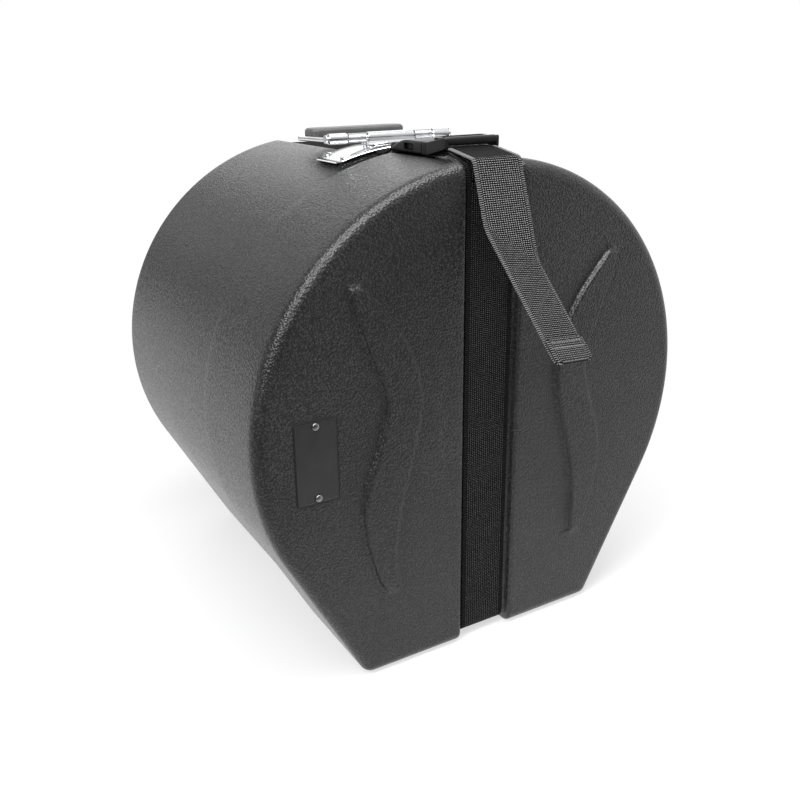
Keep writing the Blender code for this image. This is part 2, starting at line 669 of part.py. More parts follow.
buckle_plug = piece("buckle_plug", [box_shape((-half_buckle, plug_block_front, buckle_base),
                                              (half_buckle, plug_shoulder, buckle_top))], BUCKLE_PLASTIC)
for side in (-1, 1):
    inner, outer = sorted((side * (half_buckle - RAIL_WIDTH), side * half_buckle))
    front_section = [(inner, buckle_base + ADJUSTER_BASE_RISE), (outer, buckle_base + ADJUSTER_BASE_RISE),
                     (outer, front_bar_top), (inner, front_bar_top)]
    rear_section = [(inner, buckle_base), (outer, buckle_base), (outer, buckle_top), (inner, buckle_top)]
    add(buckle_plug, guide("plug_rail", [loft_shape([
        [(x, adjuster_front, z) for x, z in front_section],
        [(x, plug_block_front + BUCKLE_EDGE, z) for x, z in rear_section]])]))
bar_half = half_buckle - RAIL_WIDTH / 2
add(buckle_plug, guide("plug_front_bar", [box_shape(
    (-bar_half, adjuster_front, front_bar_base), (bar_half, adjuster_front + FRONT_BAR_DEPTH, front_bar_top))]))
add(buckle_plug, guide("plug_middle_bar", [box_shape(
    (-bar_half, middle_bar_front, middle_bar_base),
    (bar_half, middle_bar_front + MIDDLE_BAR_DEPTH, middle_bar_base + MIDDLE_BAR_HEIGHT))]))
add(buckle_plug, guide("plug_tongue", [box_shape(
    (-TONGUE_HALF_WIDTH, plug_shoulder - BUCKLE_EDGE, throat_middle_z - TONGUE_HEIGHT / 2),
    (TONGUE_HALF_WIDTH, plug_shoulder + TONGUE_LENGTH, throat_middle_z + TONGUE_HEIGHT / 2))]))

socket_front = plug_shoulder + SEAT_GAP
socket_rear = socket_front + SOCKET_LENGTH
rear_bar_front = socket_rear - REAR_BAR_DEPTH
rear_bar_base = buckle_base + REAR_BAR_RISE
rear_bar_top = rear_bar_base + REAR_BAR_HEIGHT
socket_rings = []
for along, thick, wide in SOCKET_SHARES:
    y = socket_front + SOCKET_LENGTH * along
    top = buckle_base + BUCKLE_THICKNESS * thick
    reach = half_buckle * wide
    socket_rings.append([(-reach, y, buckle_base), (reach, y, buckle_base), (reach, y, top), (-reach, y, top)])
buckle_socket = piece("buckle_socket", [loft_shape(socket_rings)], BUCKLE_PLASTIC)
soften(buckle_socket, BUCKLE_EDGE, 2)
cut(buckle_socket, guide("socket_throat", [box_shape(
    (-SOCKET_HALF_THROAT, socket_front - OVERRUN, throat_base),
    (SOCKET_HALF_THROAT, socket_front + SOCKET_THROAT_LENGTH, throat_base + SOCKET_THROAT_HEIGHT))]))
cut(buckle_socket, guide("socket_windows", [box_shape(
    (-half_buckle - OVERRUN, socket_front + WINDOW_START, throat_base),
    (half_buckle + OVERRUN, socket_front + WINDOW_START + WINDOW_LENGTH, throat_base + SOCKET_THROAT_HEIGHT))]))
cut(buckle_socket, guide("socket_slot", [box_shape(
    (-REAR_SLOT_HALF_WIDTH, rear_bar_front - REAR_SLOT, buckle_base - OVERRUN),
    (REAR_SLOT_HALF_WIDTH, rear_bar_front, buckle_top + OVERRUN))]))
for level in (rear_bar_base - OVERRUN, rear_bar_top):
    cut(buckle_socket, guide("socket_bar_trim", [box_shape(
        (-REAR_SLOT_HALF_WIDTH, rear_bar_front - REAR_SLOT / 2, level),
        (REAR_SLOT_HALF_WIDTH, socket_rear + OVERRUN, level + OVERRUN))]))


def prong_shape(side):
    """A springy arm with a thumb pad that fills the socket's window."""
    outer = SOCKET_HALF_THROAT - PRONG_OUTER_GAP
    front = plug_shoulder + SEAT_GAP
    plan = [(PRONG_ROOT_X, front), (PRONG_ROOT_X + PRONG_ROOT_WIDTH, front),
            (PRONG_ROOT_X + PRONG_ROOT_WIDTH, front + PRONG_SHOULDER - PRONG_ROOT_WIDTH),
            (outer, front + PRONG_SHOULDER), (outer, front + PRONG_LENGTH - PRONG_ROOT_WIDTH),
            (outer - PRONG_ROOT_WIDTH, front + PRONG_LENGTH), (PRONG_ROOT_X, front + PRONG_LENGTH)]
    low = throat_middle_z - PRONG_THICKNESS / 2
    high = throat_middle_z + PRONG_THICKNESS / 2
    return loft_shape([[(side * x, y, z) for x, y in plan] for z in (low, high)])


for name, side in (("buckle_prong_left", -1), ("buckle_prong_right", 1)):
    prong = piece(name, [prong_shape(side)], BUCKLE_PLASTIC, smooth=False)
    set_origin(prong, (side * (PRONG_ROOT_X + PRONG_ROOT_WIDTH / 2), plug_shoulder + SEAT_GAP, throat_middle_z))


# The strap's front end: it rises over the rim, passes under the adjuster, laps its middle bar and comes
# back over itself as the loose end, whose tip is folded over and sewn.

LOAD_STRAND_RISE = 0.003
LOAD_CORNER_RISE = 0.0025
LAYER_RISE = 0.0028
STRAND_RADIUS = 0.010

web_lap = SEAT_GAP + WEB_THICKNESS / 2
lap_front = middle_bar_front - web_lap
lap_rear = middle_bar_front + MIDDLE_BAR_DEPTH + web_lap
lap_top = middle_bar_base + MIDDLE_BAR_HEIGHT + web_lap
strand_z = CASE_HEIGHT + LOAD_STRAND_RISE
rim = Vector((CASE_FRONT - TAIL_RIM_OUT, CASE_HEIGHT))
rim_corner = Vector((0, rim.x, rim.y))
free_rows = [[(rim_corner + place, normal) for place, normal in row] for row in tail_rows()]
lead_end = rim_corner + tail_point(TAIL_START, 0)[0]
lead = rounded_path([
    (front_run_y, FRONT_RUN_TOP_Z, 0),
    (front_run_y, CASE_HEIGHT - CHANNEL_DEPTH + LOAD_CORNER_RISE, STRAP_CORNER_RADIUS),
    (adjuster_front, strand_z, STRAND_RADIUS),
    (lap_rear, strand_z, WEB_BEND_RADIUS),
    (lap_rear, lap_top, WEB_BEND_RADIUS),
    (lap_front, lap_top, WEB_BEND_RADIUS),
    (lap_front, strand_z + LAYER_RISE, WEB_BEND_RADIUS),
    (adjuster_front, strand_z + LAYER_RISE, STRAND_RADIUS),
    (rim.x, rim.y, TAIL_RIM_RADIUS),
    (lead_end.y, lead_end.z, 0)])
piece("strap_tail", [ribbon_shape(path_rows(lead[:-1], TAIL_ACROSS) + free_rows)], WEBBING)


# The strap's rear run: along the base, up the back, under the handle and round the socket's bar

RISE_START_BEYOND_SEAM = 0.031
RISE_END_BEYOND_SEAM = 0.010
RISE_RADIUS = 0.014
SOCKET_RISE_RADIUS = 0.008
SOCKET_STRAND_DROP = 0.0004
SEWN_LENGTH = 0.016

rear_run_y = CASE_REAR - CHANNEL_DEPTH + WEB_SEAT
body_run_z = BODY_FLOOR_INSET - WEB_SEAT
top_run_z = CASE_HEIGHT - BODY_FLOOR_INSET + WEB_SEAT
socket_strand_z = buckle_base - SOCKET_STRAND_DROP
slot_leg_y = rear_bar_front - web_lap
back_leg_y = socket_rear + web_lap
bar_lap_z = rear_bar_top + web_lap
rise_start = Vector((SEAM_Y + RISE_START_BEYOND_SEAM, top_run_z))
rise_end = Vector((SEAM_Y + RISE_END_BEYOND_SEAM, socket_strand_z))
fall = (rise_start - rise_end).normalized()
layer_step = Vector((-fall.y, fall.x)) * (WEB_THICKNESS + WEB_LAYER_GAP)
sewn_line = rise_end + layer_step
sewn_top = sewn_line + fall * ((back_leg_y - sewn_line.x) / fall.x)
sewn_end = sewn_top + fall * SEWN_LENGTH
piece("strap_rear_run", [ribbon_shape(path_rows(rounded_path([
    (SEAM_Y, lid_run_z, 0),
    (SEAM_Y + SEAM_RAMP, body_run_z, RAMP_RADIUS),
    (rear_run_y, body_run_z, STRAP_CORNER_RADIUS),
    (rear_run_y, top_run_z, STRAP_CORNER_RADIUS),
    (rise_start.x, rise_start.y, RISE_RADIUS),
    (rise_end.x, rise_end.y, SOCKET_RISE_RADIUS),
    (slot_leg_y, socket_strand_z, WEB_BEND_RADIUS),
    (slot_leg_y, bar_lap_z, WEB_BEND_RADIUS),
    (back_leg_y, bar_lap_z, WEB_BEND_RADIUS),
    (sewn_top.x, sewn_top.y, WEB_BEND_RADIUS),
    (sewn_end.x, sewn_end.y, 0)]), WEB_ENDS))], WEBBING)


# Handle: a bent plate riveted on the body's pad, a hinge barrel with its rod and springs, and the bail

PLATE_FRONT_BEYOND_SEAM = 0.022
PLATE_LENGTH = 0.052
PLATE_HALF_WIDTH = 0.0755
PLATE_THICKNESS = 0.0013
PIVOT_BEHIND_PLATE_FRONT = 0.036
PIVOT_RISE = 0.0075
ROD_RADIUS = 0.0025
ROD_GAP = 0.0003
ROD_HALF_LENGTH = 0.0712
ROD_HEAD_RADIUS = 0.0042
ROD_HEAD_THICKNESS = 0.0015
KEEPER_THICKNESS = 0.0016
KEEPER_RADIUS = 0.0046
BARREL_HALF_WIDTH = 0.026
BARREL_RADIUS = 0.005
BARREL_FLANGE = 0.008
FLANGE_THICKNESS = 0.0013
KNUCKLE_INNER_X = 0.0480
KNUCKLE_WIDTH = 0.020
ARM_WIDTH = 0.008
ARM_HEIGHT = 0.0045
ARM_START_DROP = 0.0012
ARM_END_DROP = 0.003
GRIP_REACH = 0.073
GRIP_DROP = 0.0003
GRIP_HALF_LENGTH = 0.056
GRIP_DEPTH = 0.024
GRIP_THICKNESS = 0.0124
GRIP_EDGE = 0.0042
BAIL_BEND = 0.0072
BAIL_BEND_STEPS = 6
SPRING_RADIUS = 0.0040
SPRING_WIRE_RADIUS = 0.0006
SPRING_TURNS = 5
SPRING_POINTS = 10
SPRING_END_ROOM = 0.0016
RIVET_X = 0.0645
RIVET_FROM_EDGE = 0.008
RIVET_RADIUS = 0.0022
RIVET_HEAD_RADIUS = 0.0046
RIVET_HEAD_HEIGHT = 0.0018
RIVET_TAIL_RADIUS = 0.0038
RIVET_TAIL_HEIGHT = 0.0014
WASHER_RADIUS = 0.0068
WASHER_THICKNESS = 0.0010
WASHER_SEAT = 0.0006

plate_front = SEAM_Y + PLATE_FRONT_BEYOND_SEAM
plate_rear = plate_front + PLATE_LENGTH
plate_top_inset = -(SEAT_GAP + PLATE_THICKNESS)
pivot_y = plate_front + PIVOT_BEHIND_PLATE_FRONT
pivot_z = CASE_HEIGHT + PIVOT_RISE
pivot = Vector((0, pivot_y, pivot_z))


handle_plate = piece("handle_plate", [crown_slab_shape(
    PLATE_HALF_WIDTH, plate_front, plate_rear, plate_top_inset, -SEAT_GAP, PAD_STEPS)], CHROME)

rivet_holes = []
washers = []
washer_drop = PLATE_THICKNESS + SEAT_GAP + BODY_INSET + SHELL_WALL + WASHER_SEAT
for place, side in (("left", -1), ("right", 1)):
    tilt = crown_tilt(side * RIVET_X)
    outward = Vector((math.sin(tilt), 0, math.cos(tilt)))
    for end, rivet_y in (("front", plate_front + RIVET_FROM_EDGE), ("rear", plate_rear - RIVET_FROM_EDGE)):
        seat = Vector((side * RIVET_X, rivet_y, crown_z(RIVET_X, plate_top_inset)))
        piece(f"handle_rivet_{end}_{place}", [rivet_shape(
            seat, outward, RIVET_HEAD_RADIUS, RIVET_HEAD_HEIGHT, RIVET_RADIUS,
            washer_drop + WASHER_THICKNESS, RIVET_TAIL_RADIUS, RIVET_TAIL_HEIGHT)], CHROME)
        washers.append(piece(f"handle_washer_{end}_{place}", [rod_shape(
            seat - outward * (washer_drop + WASHER_THICKNESS), seat - outward * washer_drop,
            WASHER_RADIUS)], STEEL))
        rivet_holes.append(rod_shape(seat - outward * (washer_drop + WASHER_THICKNESS + OVERRUN),
                                     seat + outward * OVERRUN, RIVET_RADIUS + HOLE_GAP))
handle_holes = guide("handle_holes", rivet_holes)
for obj in washers + [handle_plate, body_shell]:
    cut(obj, handle_holes)

rod_room = guide("rod_room", [rod_shape((-CASE_WIDTH, pivot_y, pivot_z), (CASE_WIDTH, pivot_y, pivot_z),
                                        ROD_RADIUS + ROD_GAP)])


def barrel_shape():
    """The plate's raised hinge barrel: straight sides with a round top."""
    low = crown_z(BARREL_HALF_WIDTH, plate_top_inset)
    section = [(-BARREL_RADIUS, low)]
    for step in range(ROUND_SIDES // 2 + 1):
        angle = math.pi * step / (ROUND_SIDES // 2)
        section.append((-BARREL_RADIUS * math.cos(angle), pivot_z + BARREL_RADIUS * math.sin(angle)))
    section.append((BARREL_RADIUS, low))
    ends = (-BARREL_HALF_WIDTH, BARREL_HALF_WIDTH)
    return loft_shape([[(x, pivot_y + y, z) for y, z in section] for x in ends])


BARREL_STEPS = 6

handle_barrel = piece("handle_barrel", [barrel_shape()], CHROME)
add(handle_barrel, guide("barrel_flange", [crown_slab_shape(
    BARREL_HALF_WIDTH, pivot_y - BARREL_RADIUS - BARREL_FLANGE, pivot_y + BARREL_RADIUS + BARREL_FLANGE,
    plate_top_inset - SEAT_GAP - FLANGE_THICKNESS, plate_top_inset - SEAT_GAP, BARREL_STEPS)]))
cut(handle_barrel, guide("barrel_seat", [crown_slab_shape(
    PLATE_HALF_WIDTH, pad_front, plate_rear + OVERRUN, plate_top_inset - SEAT_GAP, BODY_INSET, PAD_STEPS)]))
cut(handle_barrel, rod_room)

piece("handle_rod", [turned_shape((-ROD_HALF_LENGTH, pivot_y, pivot_z), (1, 0, 0), [
    (0, ROD_HEAD_RADIUS), (ROD_HEAD_THICKNESS, ROD_HEAD_RADIUS), (ROD_HEAD_THICKNESS, ROD_RADIUS),
    (2 * ROD_HALF_LENGTH, ROD_RADIUS)])], STEEL)
keeper_x = KNUCKLE_INNER_X + KNUCKLE_WIDTH + SEAT_GAP
handle_keeper = piece("handle_rod_keeper", [rod_shape((keeper_x, pivot_y, pivot_z),
                                                      (keeper_x + KEEPER_THICKNESS, pivot_y, pivot_z),
                                                      KEEPER_RADIUS)], STEEL)
cut(handle_keeper, rod_room)

grip_y = pivot_y + GRIP_REACH
grip_z = pivot_z - GRIP_DROP
arm_start_z = pivot_z - ARM_START_DROP
arm_end_z = pivot_z - ARM_END_DROP
knuckle_outer_x = KNUCKLE_INNER_X + KNUCKLE_WIDTH


def bail_shape():
    """A flat bar bent twice: along one arm, across through the grip, and back along the other arm."""
    middle_x = knuckle_outer_x - ARM_WIDTH / 2
    plan = [(middle_x, pivot_y, 1, 0, arm_start_z)]
    for step in range(BAIL_BEND_STEPS + 1):
        angle = math.pi / 2 * step / BAIL_BEND_STEPS
        across, along = math.cos(angle), math.sin(angle)
        plan.append((middle_x - BAIL_BEND * (1 - across), grip_y - BAIL_BEND * (1 - along),
                     across, along, arm_end_z))
    rings = []
    for side, stations in ((-1, plan), (1, plan[::-1])):
        for x, y, across, along, z in stations:
            inner = (side * (x - across * ARM_WIDTH / 2), y - along * ARM_WIDTH / 2)
            outer = (side * (x + across * ARM_WIDTH / 2), y + along * ARM_WIDTH / 2)
            rings.append([(*inner, z - ARM_HEIGHT / 2), (*outer, z - ARM_HEIGHT / 2),
                          (*outer, z + ARM_HEIGHT / 2), (*inner, z + ARM_HEIGHT / 2)])
    return loft_shape(rings)


handle_bail = piece("handle_bail", [bail_shape()], CHROME)
for side in (-1, 1):
    add(handle_bail, guide("bail_knuckle", [rod_shape((side * KNUCKLE_INNER_X, pivot_y, pivot_z),
                                                      (side * knuckle_outer_x, pivot_y, pivot_z),
                                                      BARREL_RADIUS)]))
cut(handle_bail, rod_room)
set_origin(handle_bail, pivot)

handle_grip = piece("handle_grip", [box_shape(
    (-GRIP_HALF_LENGTH, grip_y - GRIP_DEPTH / 2, grip_z - GRIP_THICKNESS / 2),
    (GRIP_HALF_LENGTH, grip_y + GRIP_DEPTH / 2, grip_z + GRIP_THICKNESS / 2))], GRIP_VINYL)
soften(handle_grip, GRIP_EDGE, 2)
cut(handle_grip, guide("grip_bore", [box_shape(
    (-CASE_WIDTH, grip_y - ARM_WIDTH / 2 - SEAT_GAP, arm_end_z - ARM_HEIGHT / 2 - SEAT_GAP),
    (CASE_WIDTH, grip_y + ARM_WIDTH / 2 + SEAT_GAP, arm_end_z + ARM_HEIGHT / 2 + SEAT_GAP))]))


def spring_points(side):
    """A torsion spring round the rod: a leg standing on the plate, its turns, and an end that meets
    the knuckle's inner face."""
    start_x = BARREL_HALF_WIDTH + SPRING_END_ROOM
    end_x = KNUCKLE_INNER_X - SPRING_END_ROOM
    foot_z = crown_z(start_x, plate_top_inset - SEAT_GAP - SPRING_WIRE_RADIUS)
    points = [Vector((side * start_x, pivot_y + SPRING_RADIUS, foot_z))]
    count = SPRING_TURNS * SPRING_POINTS
    for step in range(count + 1):
        angle = 2 * math.pi * step / SPRING_POINTS
        x = start_x + (end_x - start_x) * step / count
        points.append(Vector((side * x, pivot_y + SPRING_RADIUS * math.cos(angle),
                              pivot_z + SPRING_RADIUS * math.sin(angle))))
    points.append(points[-1] + Vector((side * (SPRING_END_ROOM - SEAT_GAP), 0, 0)))
    return points


def least_gap(points, radius):
    """The least gap between the wire and itself, measured on points a turn or more apart."""
    apart = SPRING_POINTS - 2
    return min((a - b).length for i, a in enumerate(points) for b in points[i + apart:]) - 2 * radius


for name, side in (("handle_spring_left", -1), ("handle_spring_right", 1)):
    wire = bpy.data.curves.new(name, "CURVE")
    wire.dimensions = "3D"
    wire.bevel_depth = SPRING_WIRE_RADIUS
    wire.bevel_resolution = 1
    wire.use_fill_caps = True
    places = spring_points(side)
    spline = wire.splines.new("POLY")
    spline.points.add(len(places) - 1)
    for point, place in zip(spline.points, places):
        point.co = (*place, 1)
    wire.materials.append(STEEL)
    bpy.context.collection.objects.link(bpy.data.objects.new(name, wire))
    print(name, "least gap to itself, mm:", round(least_gap(places, SPRING_WIRE_RADIUS) * 1000, 2))
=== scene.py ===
import math

import bmesh
import bpy
import numpy as np
from mathutils import Matrix, Vector


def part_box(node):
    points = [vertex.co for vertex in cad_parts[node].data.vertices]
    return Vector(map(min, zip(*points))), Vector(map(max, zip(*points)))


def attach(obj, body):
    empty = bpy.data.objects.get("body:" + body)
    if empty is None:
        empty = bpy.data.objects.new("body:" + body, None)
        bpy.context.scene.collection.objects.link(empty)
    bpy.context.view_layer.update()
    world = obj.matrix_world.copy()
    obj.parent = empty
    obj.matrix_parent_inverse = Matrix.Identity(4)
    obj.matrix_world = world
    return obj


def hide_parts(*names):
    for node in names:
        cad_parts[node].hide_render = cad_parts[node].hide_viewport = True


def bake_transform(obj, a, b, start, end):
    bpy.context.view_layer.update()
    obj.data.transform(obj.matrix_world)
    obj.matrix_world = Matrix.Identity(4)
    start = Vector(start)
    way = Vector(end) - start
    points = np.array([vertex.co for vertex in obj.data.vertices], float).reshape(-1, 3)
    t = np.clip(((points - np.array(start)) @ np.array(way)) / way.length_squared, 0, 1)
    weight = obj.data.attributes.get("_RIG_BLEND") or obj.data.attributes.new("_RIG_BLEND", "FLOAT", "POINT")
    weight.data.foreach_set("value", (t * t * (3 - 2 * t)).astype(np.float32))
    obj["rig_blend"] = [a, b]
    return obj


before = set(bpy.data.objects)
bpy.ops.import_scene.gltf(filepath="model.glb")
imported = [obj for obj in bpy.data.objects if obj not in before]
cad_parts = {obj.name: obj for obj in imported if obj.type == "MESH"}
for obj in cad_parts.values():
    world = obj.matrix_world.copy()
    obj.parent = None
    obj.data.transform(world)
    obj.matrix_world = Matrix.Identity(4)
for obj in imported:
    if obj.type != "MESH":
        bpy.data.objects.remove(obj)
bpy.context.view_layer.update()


# The camera stands where the photograph was taken from, to the left of the lid and a little above the case.
# It was fitted to the outline of the lid's face, the seam and the crown.

LID_DEPTH = 0.119
SEAM_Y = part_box("lid_shell")[1].y
FACE_Y = SEAM_Y - LID_DEPTH
FRAME_WIDTH = 800
FOCAL_PIXELS = 890.9
SENSOR_WIDTH = 36
CAMERA_AT = (-0.454, FACE_Y - 0.615, 0.541)
CAMERA_AHEAD = (0.4709, 0.8079, -0.3543)
CAMERA_RIGHT = (0.8614, -0.5077, -0.0130)


def linked(name, data):
    obj = bpy.data.objects.new(name, data)
    bpy.context.scene.collection.objects.link(obj)
    return obj


def aimed(place, back, right):
    """A matrix at a place that looks away from back, with its X as near to right as that lets it be."""
    back = Vector(back).normalized()
    right = (Vector(right) - back * back.dot(Vector(right))).normalized()
    return Matrix.Translation(place) @ Matrix((right, back.cross(right), back)).transposed().to_4x4()


camera_data = bpy.data.cameras.new("camera")
camera_data.sensor_width = SENSOR_WIDTH
camera_data.lens = SENSOR_WIDTH * FOCAL_PIXELS / FRAME_WIDTH
camera = linked("camera", camera_data)
camera.matrix_world = aimed(CAMERA_AT, -Vector(CAMERA_AHEAD), CAMERA_RIGHT)
bpy.context.scene.camera = camera


# The stage: a pale floor, a white surround and soft studio lamps. None of it is part of the case. The floor
# turns to plain white away from the case. What mirrors the room sees its unlit side in front as dark, and
# its wall at the left, towards the back, as shaded.

FLOOR_HALF = 6.0
FLOOR_Z = -0.0002
FLOOR_WHITE = 0.60
FLOOR_FADE = (0.36, 0.50)
ROOM_GREY = 0.36
WHITE = (1.0, 1.0, 1.0, 1.0)
UNLIT_SIDE = (-0.5, -0.866, 0.0)
UNLIT_LEVEL = 0.10
UNLIT_FLOOR = (0.30, 0.45)
UNLIT_WALL = (0.30, 0.35)
SHADED_SIDE = (-0.75, 0.66, 0.0)
SHADED_WALL = (0.25, 0.45)
SHADED_LEVEL = 0.30


def operation(kind, swapped=False):
    """A method of Value that adds a Math node of that kind."""
    def act(self, *others):
        terms = (self, *others)
        return self.math(kind, *(terms[::-1] if swapped else terms))
    return act


class Value:
    """One socket. Arithmetic on it adds Math nodes."""

    def __init__(self, tree, socket):
        self.tree = tree
        self.socket = socket

    def math(self, kind, *terms):
        node = self.tree.nodes.new("ShaderNodeMath")
        node.operation = kind
        for entry, term in zip(node.inputs, terms):
            plug(self.tree, entry, term)
        return Value(self.tree, node.outputs[0])

    __add__, __radd__ = operation("ADD"), operation("ADD", True)
    __sub__, __rsub__ = operation("SUBTRACT"), operation("SUBTRACT", True)
    __mul__, __rmul__ = operation("MULTIPLY"), operation("MULTIPLY", True)
    __truediv__, __rtruediv__ = operation("DIVIDE"), operation("DIVIDE", True)
    __pow__, __rpow__ = operation("POWER"), operation("POWER", True)
    sine, size = operation("SINE"), operation("ABSOLUTE")
    least, most = operation("MINIMUM"), operation("MAXIMUM")


def plug(tree, entry, term):
    if isinstance(term, Value):
        tree.links.new(term.socket, entry)
    else:
        entry.default_value = term


class Finish:
    """One material, and the name of a material slot for its pieces, which is not used."""

    def __init__(self, name, slot=None, **constants):
        self.material = bpy.data.materials.new(name)
        self.material.use_nodes = True
        self.slot = slot or name
        self.tree = self.material.node_tree
        self.shader = self.tree.nodes["Principled BSDF"]
        for socket, value in constants.items():
            self.set(socket.replace("_", " ").title().replace("Ior", "IOR"), value)

    def set(self, socket, term):
        plug(self.tree, self.shader.inputs[socket], term)

    def node(self, kind, settings=None, sockets=None, output=0):
        node = self.tree.nodes.new(kind)
        for name, value in (settings or {}).items():
            if name == "stops":
                ramp = node.color_ramp
                while len(ramp.elements) < len(value):
                    ramp.elements.new(1)
                for element, (place, colour) in zip(ramp.elements, value):
                    element.position = place
                    element.color = (*colour, 1)
            else:
                setattr(node, name, value)
        for name, term in (sockets or {}).items():
            plug(self.tree, node.inputs[name], term)
        return Value(self.tree, node.outputs[output])

    def place(self):
        return self.node("ShaderNodeTexCoord", output="Object")

    def axes(self, vector):
        split = self.node("ShaderNodeSeparateXYZ", sockets={"Vector": vector}, output="X")
        found = split.socket.node.outputs
        return [Value(self.tree, found[name]) for name in ("X", "Y", "Z")]

    def noise(self, vector, scale, detail=2.0, roughness=0.5):
        return self.node("ShaderNodeTexNoise", sockets={
            "Vector": vector, "Scale": scale, "Detail": detail, "Roughness": roughness}, output="Fac")

    def pebbled(self, vector, scale, smoothness):
        """The distance from the middles of small cells, rounded where they meet."""
        return self.node("ShaderNodeTexVoronoi", {"feature": "SMOOTH_F1"}, {
            "Vector": vector, "Scale": scale, "Smoothness": smoothness}, "Distance")

    def stretched(self, vector, *scale):
        return self.node("ShaderNodeMapping", sockets={"Vector": vector, "Scale": scale}, output="Vector")

    def surface(self, factor, stops, roughness, height, distance, strength=1.0):
        """Sets the base colour from a factor and its ramp's stops, the roughness, and a bump."""
        self.set("Base Color", self.node("ShaderNodeValToRGB", {"stops": stops}, {"Fac": factor}, "Color"))
        self.set("Roughness", roughness)
        self.set("Normal", self.node("ShaderNodeBump", sockets={
            "Height": height, "Distance": distance, "Strength": strength}, output="Normal"))


def rise(value, start, length):
    """0 before start, 1 after start + length, and a straight ramp between them."""
    return ((value - start) / length).most(0.0).least(1.0)


def towards(tree, vector, direction):
    node = tree.nodes.new("ShaderNodeVectorMath")
    node.operation = "DOT_PRODUCT"
    node.inputs[1].default_value = direction
    plug(tree, node.inputs[0], vector)
    return Value(tree, node.outputs["Value"])


def rays_seen(tree):
    """1 for rays from the camera, from glossy surfaces and through clear ones, else 0. Then 1 for rays from
    glossy surfaces, else 0."""
    rays = tree.nodes.new("ShaderNodeLightPath").outputs
    seen = [Value(tree, rays[name]) for name in ("Is Camera Ray", "Is Glossy Ray", "Is Transmission Ray")]
    return seen[0].most(seen[1]).most(seen[2]), seen[1]


def level_colour(tree, level):
    node = tree.nodes.new("ShaderNodeMix")
    node.data_type = "RGBA"
    entries = {entry.name: entry for entry in node.inputs if entry.type == "RGBA"}
    entries["A"].default_value = (0, 0, 0, 1)
    entries["B"].default_value = WHITE
    plug(tree, node.inputs["Factor"], level)
    return Value(tree, [out for out in node.outputs if out.type == "RGBA"][0])


floor_mesh = bpy.data.meshes.new("floor")
floor_mesh.from_pydata([(x * FLOOR_HALF, y * FLOOR_HALF, FLOOR_Z)
                        for x, y in ((-1, -1), (1, -1), (1, 1), (-1, 1))], [], [(0, 1, 2, 3)])
floor = linked("floor", floor_mesh)
floor_finish = Finish("floor", base_color=(0.93, 0.93, 0.93, 1), roughness=0.9)
spot = floor_finish.place()
away = floor_finish.node("ShaderNodeVectorMath", {"operation": "LENGTH"}, {0: spot}, "Value")
seen, mirrored = rays_seen(floor_finish.tree)
unlit = rise(towards(floor_finish.tree, spot, UNLIT_SIDE), *UNLIT_FLOOR) * mirrored
glow = floor_finish.node("ShaderNodeEmission", sockets={
    "Color": level_colour(floor_finish.tree, 1 - unlit * (1 - UNLIT_LEVEL)), "Strength": 1.0})
white_share = (FLOOR_WHITE + rise(away, *FLOOR_FADE) * (1 - FLOOR_WHITE)).most(mirrored)
mixed = floor_finish.node("ShaderNodeMixShader", sockets={
    "Fac": white_share * seen, 1: Value(floor_finish.tree, floor_finish.shader.outputs[0]), 2: glow})
floor_finish.tree.links.new(mixed.socket, floor_finish.tree.nodes["Material Output"].inputs["Surface"])
floor_mesh.materials.append(floor_finish.material)

world = bpy.data.worlds.new("room")
bpy.context.scene.world = world
world.use_nodes = True
room = world.node_tree
outlook = Value(room, room.nodes.new("ShaderNodeTexCoord").outputs["Generated"])
seen, mirrored = rays_seen(room)
dark = rise(towards(room, outlook, UNLIT_SIDE), *UNLIT_WALL) * (1 - UNLIT_LEVEL)
shaded = rise(towards(room, outlook, SHADED_SIDE), *SHADED_WALL) * (1 - SHADED_LEVEL)
level = 1 - dark.most(shaded) * mirrored
surround = level_colour(room, level * seen + ROOM_GREY * (1 - seen))
room.links.new(surround.socket, room.nodes["Background"].inputs["Color"])


def lamp(name, place, target, power, size, width=None, along=(1.0, 0.0, 0.0)):
    """A round lamp of that size, or with a width a strip that lies along a direction."""
    data = bpy.data.lights.new(name, "AREA")
    data.energy = power
    data.shape = "RECTANGLE" if width else "DISK"
    data.size = size
    if width:
        data.size_y = width
    light = linked(name, data)
    light.matrix_world = aimed(place, Vector(place) - Vector(target), along)
    light.visible_camera = False


lamp("front lamp", (-1.00, -1.35, 1.45), (0, -0.1, 0.3), 14.5, 2.0, 1.2)
lamp("strip lamp", (-0.52, -0.55, 1.80), (-0.1, -0.18, 0.42), 56, 3.1, 0.6, (2.96, 0.48, 0.99))
lamp("left lamp", (-1.0, 2.1, 1.3), (-0.1, -0.1, 0.3), 2.5, 0.9)
lamp("back lamp", (1.2, 2.6, 1.6), (0, 0, 0.3), 12, 2.8)
bpy.context.scene.view_settings.view_transform = "Standard"


# Lid shell. The real one is rotomoulded polyethylene about 3.5 mm thick, in one piece with the channel
# that the strap lies in and two raised ribs on its face. It slides over the body's neck.

CASE_WIDTH = 0.462
CASE_HEIGHT = 0.466
CASE_DEPTH = 0.384
CROWN_HALF = 0.2265
CROWN_Z = CASE_HEIGHT - CROWN_HALF
FLANK_LEAN = math.radians(28.12)
BASE_CORNER = 0.012
EDGE_RADIUS = 0.011
WALL = 0.0035
CHANNEL_DEPTH = 0.008
CHANNEL_HALF = 0.0285
CHANNEL_EDGE = 0.006
LIP = 0.0012
CHANNEL_SHOULDER = 0.0045
